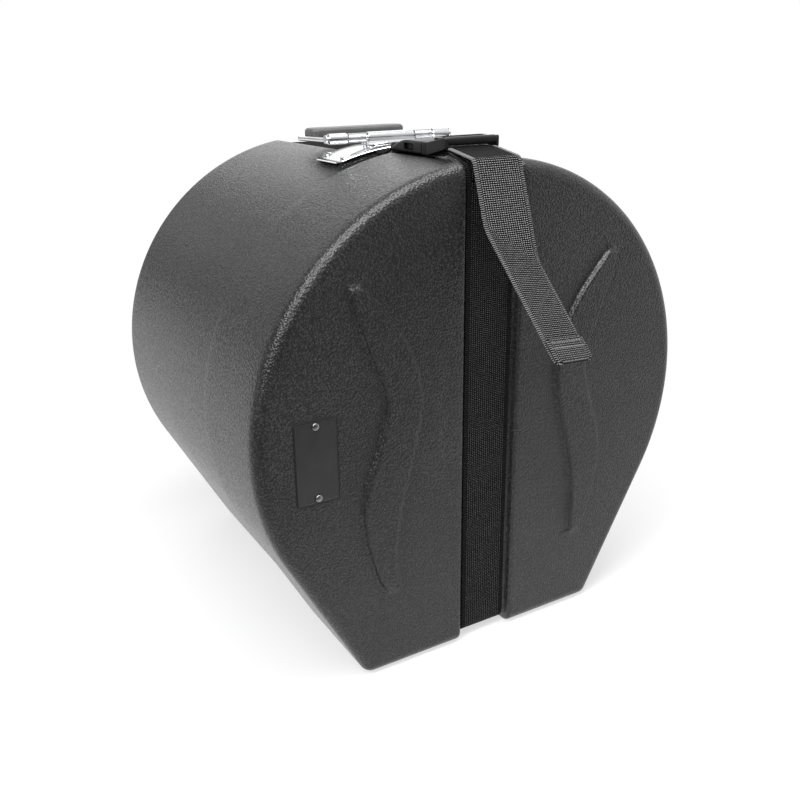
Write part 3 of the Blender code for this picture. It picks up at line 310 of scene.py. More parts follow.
# Across the channel, from its middle outwards: distance from the channel's side, and share of its depth.
CHANNEL_SECTION = ((-0.0285, 1.0), (-0.019, 1.0), (-0.010, 1.0), (-0.0045, 1.0), (-0.0025, 0.985),
                   (-0.0010, 0.90), (-0.0003, 0.75), (0.0001, 0.50), (0.0004, 0.28), (0.0010, 0.14),
                   (0.0019, 0.05), (0.0031, 0.012), (0.0045, 0.0))

EDGE_STEPS = 7
LIP_STEPS = 3
LIP_SHARE_INSIDE = 0.8
LEAST_BEND = 0.0015
LEAST_CORNER = 0.002
LID_ROWS = 12
LID_CELLS = (60, 5, 44, 140)
RIB_HEIGHT = 0.0045
RIB_HALF_WIDTH = 0.0216
RIB_FOOT_Z = 0.084
RIB_LENGTH = 0.294
RIB_NEAR_X = 0.0912
RIB_SWING = 0.046
RIB_SLOPE = 0.0034
RIB_END = 0.008
RIB_MARGIN = 0.001
GATHER = 5.0
# Up the rib: share of its length, of its swing away from the channel, and of its width.
RIB_SHARES = np.array((
    (0.00, 0.36, 0.12), (0.02, 0.38, 0.32), (0.05, 0.42, 0.46), (0.16, 0.53, 0.66), (0.29, 0.54, 0.93),
    (0.38, 0.42, 1.00), (0.46, 0.25, 0.95), (0.54, 0.10, 0.89), (0.62, 0.00, 0.84), (0.69, 0.06, 0.85),
    (0.79, 0.29, 0.90), (0.87, 0.54, 0.77), (0.94, 0.81, 0.52), (0.98, 0.95, 0.34), (1.00, 1.00, 0.14)))


def ease(x):
    """A smooth step from 0 to 1 as x goes from 0 to 1."""
    x = np.clip(x, 0, 1)
    return x * x * (3 - 2 * x)


def rib_height(x, z):
    """How far the face stands proud at a point of it."""
    share = (z - RIB_FOOT_Z) / RIB_LENGTH
    soft = np.linspace(0, 1, 61)
    blur = np.array((1, 2, 3, 2, 1)) / 9
    swing, width = (np.convolve(np.pad(np.interp(soft, RIB_SHARES[:, 0], shares), 2, "edge"), blur, "valid")
                    for shares in (RIB_SHARES[:, 1], RIB_SHARES[:, 2]))
    middle = RIB_NEAR_X + RIB_SWING * np.interp(share, soft, swing)
    half = RIB_HALF_WIDTH * np.interp(share, soft, width)
    slope = np.minimum(RIB_SLOPE, half * 0.9)
    side = ease((half + RIB_MARGIN - np.abs(np.abs(x) - middle)) / slope)
    top = RIB_FOOT_Z + RIB_LENGTH
    ends = ease((z - RIB_FOOT_Z + RIB_MARGIN) / RIB_END) * ease((top + RIB_MARGIN - z) / RIB_END)
    return RIB_HEIGHT * side * ends


def gathered(row, relief):
    """A row of the face's points, moved along it so that most of them lie where the relief is steep."""
    share, fine = np.linspace(0, 1, len(row)), np.linspace(0, 1, 8 * len(row))
    x, z = np.interp(fine, share, row[:, 0]), np.interp(fine, share, row[:, 2])
    steep = np.convolve(np.abs(np.gradient(relief(x, z)) / np.gradient(x)), np.ones(9) / 9, "same")
    weight = 1 + GATHER * steep
    reach = np.concatenate(([0], np.cumsum(weight[1:] + weight[:-1])))
    place = np.interp(share * reach[-1], reach, fine)
    return np.column_stack([np.interp(place, share, row[:, k]) for k in range(3)])


def section_point(columns, inset, start_x):
    """Points round half of the case's section, drawn in by the inset, from start_x on the base round to
    start_x on the crown. Each column lists which stretch of it, and the share along that stretch."""
    stretch, share = columns.T
    wide, high = CASE_WIDTH / 2 - inset, CROWN_HALF - inset
    normal_x, normal_z = math.cos(FLANK_LEAN), -math.sin(FLANK_LEAN)
    touch = np.arctan2(high * normal_z, wide * normal_x)
    touch_x, touch_z = wide * np.cos(touch), CROWN_Z + high * np.sin(touch)
    corner = np.maximum(BASE_CORNER - inset, LEAST_CORNER)
    centre_z = inset + corner
    centre_x = (normal_x * touch_x + normal_z * touch_z - corner - normal_z * centre_z) / normal_x
    turn = -math.pi / 2 + (math.pi / 2 - FLANK_LEAN) * share
    flank_x, flank_z = centre_x + corner * normal_x, centre_z + corner * normal_z
    arc = touch + (np.arccos(start_x / wide) - touch) * share
    xs = (start_x + (centre_x - start_x) * share, centre_x + corner * np.cos(turn),
          flank_x + (touch_x - flank_x) * share, wide * np.cos(arc))
    zs = (inset + 0 * share, centre_z + corner * np.sin(turn),
          flank_z + (touch_z - flank_z) * share, CROWN_Z + high * np.sin(arc))
    return [np.choose(stretch.astype(int), choices) for choices in (xs, zs)]


def crown_height(x, inset=0.0):
    return CROWN_Z + (CROWN_HALF - inset) * np.sqrt(1 - (x / (CASE_WIDTH / 2 - inset)) ** 2)


def shell_skin(cells, face_y, inwards, base_inset, wall, radius, half, wall_rows, length, lip, relief,
               face_relief):
    """One side of a shell's wall as grids of points. It has a flat face at face_y, a rounded edge, and walls
    that run inwards along Y by its length and end in a rounded lip. relief is how far the walls stand
    proud, and face_relief how far the face does."""
    columns = np.array([(stretch, step / count) for stretch, count in enumerate(cells)
                        for step in range(count)] + [(3, 1.0)])
    start_x = half + CHANNEL_SHOULDER
    middle_x = np.array([half + place for place, share in CHANNEL_SECTION])
    middle_depth = np.array([CHANNEL_DEPTH * share for place, share in CHANNEL_SECTION])
    middle_x = np.concatenate((-middle_x[:0:-1], middle_x))
    middle_depth = np.concatenate((middle_depth[:0:-1], middle_depth))

    def stations(depth):
        """Pairs of (distance from the face's plane, inset) from the face's edge to the lip."""
        bend = np.maximum(radius - depth * (radius - CHANNEL_EDGE) / CHANNEL_DEPTH - wall, LEAST_BEND)
        rows = []
        for step in range(EDGE_STEPS + 1):
            angle = math.pi / 2 * step / EDGE_STEPS
            rows.append((wall + depth + bend * (1 - math.cos(angle)),
                         base_inset + wall + depth + bend * (1 - math.sin(angle))))
        first = wall + depth + bend
        last = length - abs(lip)
        for row in wall_rows[1:]:
            share = (row - wall_rows[0]) / (wall_rows[-1] - wall_rows[0])
            rows.append((first + (last - first) * share, base_inset + wall + depth))
        for step in range(1, LIP_STEPS + 1):
            angle = math.pi / 2 * step / LIP_STEPS
            rows.append((last + abs(lip) * math.sin(angle) + 0 * depth,
                         base_inset + wall + depth + lip * (1 - math.cos(angle))))
        return rows

    grids, ends = [], []
    base_cells = cells[0]
    zero = np.zeros(len(columns))
    rough_x, rough_z = section_point(columns, base_inset + zero, start_x)
    is_top = rough_z > CROWN_Z
    for side in (-1, 1):
        rows = []
        for distance, inset in stations(zero):
            y = face_y + inwards * distance
            drawn_in = inset - relief(side * rough_x, y, is_top)
            x, z = section_point(columns, drawn_in, start_x)
            rows.append(np.stack((side * x, y, z), 1))
        grids.append(np.array(rows))
        ends.append(rows[-1])
        loop = rows[0]
        rights = loop[base_cells:len(columns) - base_cells]
        steps = np.concatenate(([0], np.cumsum(np.linalg.norm(np.diff(rights, axis=0), axis=1))))
        v = steps / steps[-1]
        u = np.arange(base_cells + 1) / base_cells
        bottom, top = loop[:base_cells + 1], loop[::-1][:base_cells + 1]
        left = loop[0] + (loop[-1] - loop[0]) * v[:, None]
        patch = ((1 - v)[:, None, None] * bottom[None] + v[:, None, None] * top[None]
                 + (1 - u)[None, :, None] * left[:, None] + u[None, :, None] * rights[:, None])
        for up, across, corner in ((1 - v, 1 - u, bottom[0]), (1 - v, u, bottom[-1]), (v, 1 - u, top[0]),
                                   (v, u, top[-1])):
            patch -= np.outer(up, across)[..., None] * corner
        patch = np.array([gathered(row, face_relief) for row in patch])
        patch[..., 1] -= inwards * face_relief(patch[..., 0], patch[..., 2])
        grids.append(patch)
    rows_low, rows_high = [], []
    top_flag = np.ones(len(middle_x), bool)
    for distance, inset in stations(middle_depth):
        y = face_y + inwards * distance
        low = inset - relief(middle_x, y, ~top_flag)
        high = inset - relief(middle_x, y, top_flag)
        rows_low.append(np.stack((middle_x, y + 0 * middle_x, low), 1))
        rows_high.append(np.stack((middle_x, y + 0 * middle_x, crown_height(middle_x, high)), 1))
    grids += [np.array(rows_low), np.array(rows_high)]
    ends += [rows_low[-1], rows_high[-1]]
    grids.append(rows_low[0][None] + (rows_high[0] - rows_low[0])[None] * v[:, None, None])
    return grids, ends


def reshaped(mesh, act):
    """The mesh, after a function has changed it as a bmesh."""
    shaped = bmesh.new()
    shaped.from_mesh(mesh)
    act(shaped)
    shaped.to_mesh(mesh)
    shaped.free()
    return mesh


def outwards(shaped):
    bmesh.ops.recalc_face_normals(shaped, faces=shaped.faces)


def tidied(shaped, merge=0.000002):
    bmesh.ops.remove_doubles(shaped, verts=shaped.verts, dist=merge)
    bmesh.ops.dissolve_degenerate(shaped, dist=merge, edges=shaped.edges)
    outwards(shaped)


def grid_mesh(grids):
    """One mesh through all the grids, joined where they meet, with its faces outwards."""
    verts, faces = [], []
    for grid in grids:
        rows, columns = grid.shape[:2]
        base = len(verts)
        verts += [tuple(point) for point in grid.reshape(-1, 3)]
        for row in range(rows - 1):
            for column in range(columns - 1):
                corner = base + row * columns + column
                faces.append((corner, corner + 1, corner + columns + 1, corner + columns))
    mesh = bpy.data.meshes.new("mesh")
    mesh.from_pydata(verts, [], faces)
    return reshaped(mesh, tidied)


def piece(name, mesh, finish, body, *nodes, smooth=False):
    """A finished piece at the origin, on its body, standing for its CAD nodes."""
    mesh.name = name
    obj = linked(name, mesh)
    mesh.materials.clear()
    mesh.materials.append(finish.material)
    if smooth:
        mesh.shade_smooth()
    if body:
        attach(obj, body)
    if nodes:
        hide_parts(*nodes)
    return obj


def no_relief(x, *place):
    return 0.0 * x


def shell_mesh(cells, face_y, inwards, inset, radius, half, rows, length, relief):
    """A shell's outer and inner skin, joined round its lip. relief is given how far a skin lies inside."""
    outer, outer_ends = shell_skin(cells, face_y, inwards, inset, 0.0, radius, half, rows, length, LIP,
                                   relief(0.0), rib_height)
    inner, inner_ends = shell_skin(cells, face_y, inwards, inset, WALL, radius, half + WALL, rows, length,
                                   -LIP * LIP_SHARE_INSIDE, relief(WALL), no_relief)
    return grid_mesh(outer + inner + [np.stack(ends) for ends in zip(outer_ends, inner_ends)])


shell_plastic = Finish("moulded polyethylene", ior=1.5)
spot = shell_plastic.place()
pebbles = shell_plastic.pebbled(spot, 520.0, 0.3)
grain = shell_plastic.noise(spot, 1500.0, 3.0, 0.6)
drift = shell_plastic.noise(spot, 9.0, 4.0, 0.55)
scuffs = shell_plastic.noise(spot, 70.0, 6.0, 0.75)
# Partly painted highlight: the pebbles' tops are painted lighter and the fine grain speckles the colour,
# standing in for glints of light on the grain. Drift and scuffs vary the tone at random.
shell_plastic.surface(
    drift * 0.3 + scuffs * 0.2 + grain * 0.45 - pebbles * 0.6 + 0.2,
    ((0.36, (0.010, 0.010, 0.010)), (0.72, (0.042, 0.042, 0.043))),
    0.10 + drift * 0.08 + scuffs * 0.06 + pebbles * 0.24, pebbles * -1.2 + grain * 0.35, 0.00038)

lid_rows = np.linspace(EDGE_RADIUS, LID_DEPTH - LIP, LID_ROWS)
piece("lid", shell_mesh(LID_CELLS, FACE_Y, 1, 0.0, EDGE_RADIUS, CHANNEL_HALF, lid_rows, LID_DEPTH,
                        lambda grown: no_relief), shell_plastic, "lid", "lid_shell", smooth=True)


# Body shell. Moulded as the lid is, 4 mm further in so that the lid goes over its neck. It has a raised pad
# for the handle's plate, the same ribs and channel on its back, and two skids to stand on.

SHELL_GAP = 0.0005
BODY_INSET = WALL + SHELL_GAP
BODY_EDGE = 0.009
BODY_HALF_CHANNEL = CHANNEL_HALF + BODY_INSET
CHANNEL_SLOPE = 0.0015
NECK_LENGTH = 0.079
PAD_HALF = 0.0745
PAD_Y = (SEAM_Y + 0.023, SEAM_Y + 0.073)
PAD_SLOPES = (0.003, 0.0015)
REAR_Y = FACE_Y + CASE_DEPTH
SKID_X = (0.055, 0.105)
SKID_Y = (SEAM_Y + 0.010, REAR_Y - EDGE_RADIUS - 0.010)
SKID_SLOPES = (0.004, 0.006)
BODY_CELLS = (50, 5, 32, 112)
BODY_ROWS = 46


def plateau(value, low, high, edge):
    """1 between low and high, falling smoothly to 0 over the edge inside each end."""
    return ease((value - low) / edge) * ease((high - value) / edge)


def body_relief(grown):
    def relief(x, y, top):
        if grown:
            return no_relief(x)
        channel = ease((BODY_HALF_CHANNEL - np.abs(x)) / CHANNEL_SLOPE + 0.5)
        pad = plateau(x, -PAD_HALF, PAD_HALF, PAD_SLOPES[0]) * plateau(y, *PAD_Y, PAD_SLOPES[1])
        skid = plateau(np.abs(x), *SKID_X, SKID_SLOPES[0]) * plateau(y, *SKID_Y, SKID_SLOPES[1])
        return BODY_INSET * np.where(top, pad * (1 - channel), skid)
    return relief


body_length = CASE_DEPTH - LID_DEPTH + NECK_LENGTH
body_rows = list(np.linspace(BODY_EDGE, body_length - LIP, BODY_ROWS))
for mark in (*PAD_Y, *SKID_Y):
    body_rows += [REAR_Y - mark + step for step in (-0.003, -0.0015, 0.0, 0.0015, 0.003)]
body_rows = sorted(set(row for row in body_rows if BODY_EDGE <= row <= body_length - LIP))
piece("body", shell_mesh(BODY_CELLS, REAR_Y, -1, BODY_INSET, BODY_EDGE, BODY_HALF_CHANNEL, body_rows,
                         body_length, body_relief), shell_plastic, "case", "body_shell", smooth=True)


# Label plate. A thin plate of coated steel in a shallow recess of the lid's face, dark, with a black line of
# painted shadow round its edge, for the gap round it. Its field is left bare. Two rivets hold it.

LABEL_LOW, LABEL_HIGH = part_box("label_plate")
LABEL_BORDER = 0.0022
LABEL_FIELD_DROP = 0.00015
LABEL_CORNER = 0.0028
LEAST_LABEL_CORNER = 0.0004
LABEL_EDGE = 0.0003
LABEL_GAP_SHADOW = (0.0009, 0.0003)


def rounded_loop(low, high, corner, steps=5):
    """A rectangle with round corners, as points (x, z) anticlockwise."""
    loop = []
    centres = ((high[0] - corner, low[1] + corner), (high[0] - corner, high[1] - corner),
               (low[0] + corner, high[1] - corner), (low[0] + corner, low[1] + corner))
    for quarter, (x, z) in enumerate(centres):
        for step in range(steps + 1):
            angle = math.pi / 2 * (quarter - 1 + step / steps)
            loop.append((x + corner * math.cos(angle), z + corner * math.sin(angle)))
    return np.array(loop)


def loop_mesh(rings, act=tidied):
    """A closed mesh through rings of equally many points, with its first and last ring filled."""
    count = len(rings[0])
    verts = [tuple(point) for ring in rings for point in np.asarray(ring)]
    faces = [tuple(range(count)), tuple(range(len(verts) - count, len(verts)))]
    for start in range(0, len(verts) - count, count):
        for corner in range(count):
            after = (corner + 1) % count
            faces.append((start + corner, start + after, start + count + after, start + count + corner))
    mesh = bpy.data.meshes.new("mesh")
    mesh.from_pydata(verts, [], faces)
    return reshaped(mesh, act)


def level_loop(low, high, inset, corner, axis, level, steps=5):
    """A rectangle with round corners, drawn in by the inset, at a level along an axis."""
    loop = rounded_loop(np.add(low, inset), np.subtract(high, inset), corner, steps)
    return np.insert(loop, axis, level, 1)


label_finish = Finish("label plate", ior=1.5)
spot = label_finish.place()
smears = label_finish.noise(spot, 60.0, 5.0, 0.6)
specks = label_finish.noise(spot, 900.0, 2.0, 0.5)
label_x, label_z = label_finish.axes(spot)[::2]
label_middle, label_half = (LABEL_LOW + LABEL_HIGH) / 2, (LABEL_HIGH - LABEL_LOW) / 2
from_edge = ((label_x - label_middle.x).size() - label_half.x).most(
    (label_z - label_middle.z).size() - label_half.z) * -1
# Painted shadow: a black line about 1 mm wide round the plate's edge, for the shadow in the gap round the
# plate.
painted_gap_shadow = 1 - rise(from_edge, *LABEL_GAP_SHADOW)
label_finish.surface(
    smears * 0.7 + specks * 0.3 - painted_gap_shadow,
    ((0.0, (0.0005, 0.0005, 0.0005)), (0.3, (0.012, 0.012, 0.012)), (0.8, (0.024, 0.024, 0.025))),
    0.24 + smears * 0.16 + painted_gap_shadow * 0.4, specks, 0.00004, 0.5)
piece("label", loop_mesh([
    level_loop(LABEL_LOW.xz, LABEL_HIGH.xz, inset, max(LABEL_CORNER - inset / 2, LEAST_LABEL_CORNER), 1, y)
    for inset, y in ((0, LABEL_HIGH.y), (0, LABEL_LOW.y + LABEL_EDGE), (LABEL_EDGE, LABEL_LOW.y),
                     (LABEL_BORDER, LABEL_LOW.y),
                     (LABEL_BORDER + LABEL_FIELD_DROP, LABEL_LOW.y + LABEL_FIELD_DROP))]),
    label_finish, "lid", "label_plate")


# Label rivets. Two domed steel rivets, dark from their plating, go through the plate and the lid's wall and
# are closed behind it.

LABEL_HEAD = (0.0034, 0.0016)
LABEL_SHANK = 0.0016
LABEL_TAIL = (0.0028, 0.0012)


def turned_mesh(profile, sides=32):
    """A solid of revolution round Z from pairs of (height, radius)."""
    angles = 2 * math.pi * np.arange(sides) / sides
    ring = np.column_stack((np.cos(angles), np.sin(angles)))
    return loop_mesh([np.insert(ring * radius, 2, height, 1) for height, radius in profile])


def rivet_mesh(head, shank, grip, tail):
    """A rivet along Z: a tail closed behind the work, a shank through it and a domed head with a small rim.
    head and tail give a radius and a height. Height 0 is the head's seat."""
    radius, height = head
    foot = -grip - tail[1]
    profile = [(foot, tail[0] * 0.55), (foot, tail[0] * 0.8), (-grip - tail[1] * 0.6, tail[0]),
               (-grip, tail[0]), (-grip, shank), (0, shank), (0, radius * 0.97), (height * 0.12, radius),
               (height * 0.24, radius * 0.97)]
    for step in range(1, 9):
        angle = math.pi / 2 * step / 8.6
        profile.append((height * (0.24 + 0.76 * math.sin(angle)), radius * 0.97 * math.cos(angle)))
    mesh = turned_mesh(profile)
    mesh.shade_smooth()
    return mesh


def node_tree(name, inputs, output, kinds, links):
    """A tree of geometry nodes that ends in Realize Instances and Set Material. kinds lists each node's key,
    type and settings, and links name keys and sockets."""
    tree = bpy.data.node_groups.new(name, "GeometryNodeTree")
    for entry, kind in (*inputs, ("Finish", "Material")):
        tree.interface.new_socket(entry, in_out="INPUT", socket_type="NodeSocket" + kind)
    tree.interface.new_socket(output, in_out="OUTPUT", socket_type="NodeSocketGeometry")
    nodes = {}
    for key, kind, settings in (
            ("given", "NodeGroupInput", {}), ("result", "NodeGroupOutput", {}), *kinds,
            ("real", "GeometryNodeRealizeInstances", {}), ("painted", "GeometryNodeSetMaterial", {})):
        node = nodes[key] = tree.nodes.new(kind)
        for setting, value in settings.items():
            if setting in node.inputs:
                node.inputs[setting].default_value = value
            else:
                setattr(node, setting, value)
    for source, out, target, entry in (
            *links, ("real", "Geometry", "painted", "Geometry"), ("given", "Finish", "painted", "Material"),
            ("painted", "Geometry", "result", output)):
        tree.links.new(nodes[source].outputs[out], nodes[target].inputs[entry])
    return tree


def settle(carrier):
    """A plain mesh with the object's modifiers applied. The object itself is removed."""
    bpy.context.view_layer.update()
    mesh = bpy.data.meshes.new_from_object(carrier.evaluated_get(bpy.context.evaluated_depsgraph_get()))
    bpy.data.objects.remove(carrier)
    return mesh


def grow(mesh, tree, inputs):
    """The mesh that a tree of geometry nodes makes from a mesh, with the tree's inputs set by name."""
    carrier = linked("carrier", mesh)
    modifier = carrier.modifiers.new("grow", "NODES")
    modifier.node_group = tree
    for entry in tree.interface.items_tree:
        if entry.name in inputs:
            modifier[entry.identifier] = inputs[entry.name]
    return settle(carrier)


# Sets a part on every point, with the part's Z along the point's facing and its X along its heading.
parts_on_points = node_tree(
    "parts on points", (("Points", "Geometry"), ("Part", "Object"), ("Size", "Float")), "Parts",
    (("part", "GeometryNodeObjectInfo", {}),
     ("facing", "GeometryNodeInputNamedAttribute", {"data_type": "FLOAT_VECTOR", "Name": "facing"}),
     ("heading", "GeometryNodeInputNamedAttribute", {"data_type": "FLOAT_VECTOR", "Name": "heading"}),
     ("turn", "FunctionNodeAxesToRotation", {"primary_axis": "Z", "secondary_axis": "X"}),
     ("setting", "GeometryNodeInstanceOnPoints", {})),
    (("given", "Points", "setting", "Points"), ("given", "Part", "part", "Object"),
     ("part", "Geometry", "setting", "Instance"), ("facing", "Attribute", "turn", "Primary Axis"),
     ("heading", "Attribute", "turn", "Secondary Axis"), ("turn", "Rotation", "setting", "Rotation"),
     ("given", "Size", "setting", "Scale"), ("setting", "Instances", "real", "Geometry")))


def repeated(part_mesh, places, finish, size=1.0):
    """The part at each place, which lists a point, its facing and its heading."""
    points = bpy.data.meshes.new("points")
    points.from_pydata([tuple(place[0]) for place in places], [], [])
    for column, key in ((1, "facing"), (2, "heading")):
        values = points.attributes.new(key, "FLOAT_VECTOR", "POINT")
        values.data.foreach_set("vector", np.array([tuple(place[column]) for place in places]).ravel())
    part = linked("part", part_mesh)
    mesh = grow(points, parts_on_points, {"Part": part, "Size": size, "Finish": finish.material})
    bpy.data.objects.remove(part)
    return mesh


def worn_metal(name, low, high, rough, rough_range, scratch, slot=None):
    """A plated metal with faint blotches and fine scratches."""
    finish = Finish(name, slot, metallic=1.0)
    spot = finish.place()
    blotches = finish.noise(spot, 45.0, 4.0, 0.6)
    scratches = finish.noise(finish.stretched(spot, 60.0, 900.0, 900.0), 1.0, 3.0, 0.7)
    finish.surface(blotches * 0.7 + scratches * 0.3, ((0.25, low), (0.75, high)),
                   rough + blotches * rough_range + scratches * rough_range, scratches, scratch, 0.4)
    return finish


dark_plating = worn_metal("dark plating", (0.22, 0.22, 0.225), (0.36, 0.36, 0.365), 0.20, 0.10, 0.00003,
                          "zinc steel")
label_grip = FACE_Y + WALL - LABEL_LOW.y
rivet_names = ("label_rivet_bottom", "label_rivet_top")
places = []
for node in rivet_names:
    low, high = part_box(node)
    places.append((((low.x + high.x) / 2, LABEL_LOW.y - 0.0002, (low.z + high.z) / 2), (0, -1, 0), (1, 0, 0)))
piece("label_rivets", repeated(rivet_mesh(LABEL_HEAD, LABEL_SHANK, label_grip + 0.0002, LABEL_TAIL), places,
                               dark_plating), dark_plating, "lid", *rivet_names)


# Webbing. Woven polypropylene 50 mm wide and 2 mm thick, with cross ribs. The front run lies in the lid's
# channel, from the base's seam up the face to just below the rim. Where it lies behind the face's plane and
# lower than the rim, its colour is painted darker: painted shade.

WEB_WIDTH = 0.050
WEB_HALF_THICK = 0.001
WEB_EDGE = 0.0009
PICK = 0.0018
PICK_RISE = 0.00030
PICK_SAMPLES = 4
SERRATION = 0.0005
YARN = 0.0023
EDGE_BAND = (0.0205, 0.0008)
PAINTED_SHADE_DEPTH = 0.42
SEAT = 0.0003
WEB_SEAT = SEAT + WEB_HALF_THICK
PATH_STEPS = 10
STRAP_CORNER = CHANNEL_EDGE + WEB_SEAT
FRONT_RUN_TOP = 0.448


def unit(vector):
    return vector / np.linalg.norm(vector)


def rounded_path(*corners):
    """Points (y, z) along a run through corners that each list y, z and a radius."""
    corners = np.array(corners)
    places = corners[:, :2]
    path = [places[0]]
    for before, place, after, radius in zip(places, places[1:], places[2:], corners[1:, 2]):
        to_before, to_after = unit(before - place), unit(after - place)
        opening = math.acos(float(np.clip(to_before @ to_after, -1, 1)))
        middle = place + unit(to_before + to_after) * radius / math.sin(opening / 2)
        first = place + to_before * radius / math.tan(opening / 2) - middle
        sign = 1 if to_before[0] * to_after[1] - to_before[1] * to_after[0] < 0 else -1
        for step in range(PATH_STEPS + 1):
            angle = sign * (math.pi - opening) * step / PATH_STEPS
            cos, sin = math.cos(angle), math.sin(angle)
            path.append(middle + (cos * first[0] - sin * first[1], sin * first[0] + cos * first[1]))
    return np.array(path + [places[-1]])


def web_mesh(along, place, columns):
    """A closed band of webbing. place(row, across, height) gives the points of a row of its length."""
    flat = np.linspace(-1, 1, columns) * (WEB_WIDTH / 2 - WEB_EDGE)
    turn = np.radians((60, 25, -25, -60))
    edge = WEB_WIDTH / 2 - WEB_EDGE + WEB_EDGE * np.cos(turn)
    across = np.concatenate((flat, edge, flat[::-1], -edge))
    height = np.concatenate((1 + 0 * flat, np.sin(turn), -1 + 0 * flat, -np.sin(turn))) * WEB_HALF_THICK
    teeth = np.sign(across) * SERRATION / 2 * (np.abs(across) > WEB_WIDTH / 2 - WEB_EDGE)
    rings = []
    for row, reach in enumerate(along):
        wave = math.cos(2 * math.pi * reach / PICK)
        swell = 1 + PICK_RISE / WEB_HALF_THICK * (wave - 1) / 2
        rings.append(place(row, across + teeth * wave, height * swell))
    mesh = loop_mesh(rings, outwards)
    weave = mesh.attributes.new("weave", "FLOAT_VECTOR", "POINT")
    reach = np.repeat(along, len(across))
    weave.data.foreach_set("vector", np.column_stack((np.tile(across, len(rings)), reach, 0 * reach)).ravel())
    return mesh


def run_frames(path):
    """Evenly spaced lengths, points and normals along a run in the (Y, Z) plane."""
    steps = np.concatenate(([0], np.cumsum(np.linalg.norm(np.diff(path, axis=0), axis=1))))
    count = max(int(round(steps[-1] / PICK * PICK_SAMPLES)), 2)
    along = np.linspace(0, steps[-1], count + 1)
    points = np.column_stack([np.interp(along, steps, path[:, k]) for k in (0, 1)])
    ahead = np.gradient(points, axis=0)
    ahead /= np.linalg.norm(ahead, axis=1)[:, None]
    return along, points, ahead[:, ::-1] * (1, -1)


def run_row(frames, row, across, height):
    point, normal = frames[1][row], frames[2][row]
    return np.column_stack((across, point[0] + normal[0] * height, point[1] + normal[1] * height))


def run_mesh(path, columns=14):
    frames = run_frames(path)
    return web_mesh(frames[0], lambda *section: run_row(frames, *section), columns)


webbing = Finish("webbing", "woven polypropylene", ior=1.5, specular_ior_level=0.12)
weave_at = webbing.node("ShaderNodeAttribute", {"attribute_name": "weave"}, output="Vector")
across_web, along_web = webbing.axes(weave_at)[:2]
web_y, web_z = webbing.axes(webbing.place())[1:]
picks = (along_web / PICK * (2 * math.pi)).sine() * 0.5
yarns = (across_web / YARN * math.pi).sine().size()
fibres = webbing.noise(webbing.stretched(weave_at, 9000.0, 900.0, 1.0), 1.0, 2.0, 0.6)
wear = webbing.noise(webbing.place(), 26.0, 5.0, 0.7)
edge_band = rise(across_web.size(), *EDGE_BAND)
# The weave's colour runs from near black in its grooves to light on its crests: its pattern with painted
# shade and painted highlight. The same factor is the weave's relief.
weave_and_painted_shading = (yarns * (0.5 - picks)) ** 1.15 * (1 - edge_band) + (picks + 0.5) * 0.7 * edge_band
# Painted shade: the colour is darker behind the face's plane and below the rim, in the channel and along the
# back and base.
painted_channel_shade = (1 - rise(web_z, CASE_HEIGHT - 0.006, 0.008)) * rise(web_y, FACE_Y - 0.002, 0.004)
webbing.surface(
    (weave_and_painted_shading * 0.8 + fibres * 0.1 + wear * 0.1) * (1 - painted_channel_shade * PAINTED_SHADE_DEPTH),
    ((0.20, (0.002, 0.002, 0.002)), (0.36, (0.012, 0.012, 0.013)), (0.74, (0.300, 0.300, 0.303))),
    0.50 + fibres * 0.22, weave_and_painted_shading + fibres * 0.3, 0.00060)

front_run_y = FACE_Y + CHANNEL_DEPTH - WEB_SEAT
lid_run_z = CHANNEL_DEPTH - WEB_SEAT
piece("strap_on_lid", run_mesh(rounded_path(
    (front_run_y, FRONT_RUN_TOP - SEAT, 0), (front_run_y, lid_run_z, STRAP_CORNER),
    (SEAM_Y - SEAT, lid_run_z, 0)), 12), webbing, "lid", "strap_front_run", smooth=True)


# The strap's front end. It rises out of the channel over the rim, passes under the adjuster, laps its middle
# bar and comes back over itself. The loose end hangs in front, its tip folded over and sewn.

ADJUSTER_Y = FACE_Y + 0.034
MIDDLE_BAR_Y = FACE_Y + 0.0495
MIDDLE_BAR_DEPTH = 0.006
BUCKLE_BASE = CASE_HEIGHT - 0.0014
MIDDLE_BAR_BASE = BUCKLE_BASE + 0.0084
MIDDLE_BAR_HEIGHT = 0.006
STRAND_Z = CASE_HEIGHT + 0.003
SECOND_Z = STRAND_Z + 0.0028
STRAND_RADIUS = 0.010
WEB_BEND = 0.0017
RIM = (FACE_Y - 0.0007, CASE_HEIGHT)
RIM_RADIUS = 0.006
TAIL_START = 0.014
TAIL_LENGTH = 0.184
TAIL_LEAN = math.radians(19)
TAIL_BEND_START = 0.053
TAIL_BEND_RADIUS = 0.028
TAIL_BEND_TURN = math.radians(29)
TAIL_SKEW = math.radians(33)
HEM_LENGTH = 0.020
FOLD_RADIUS = 0.0012
TIP_CORNER = 0.0035


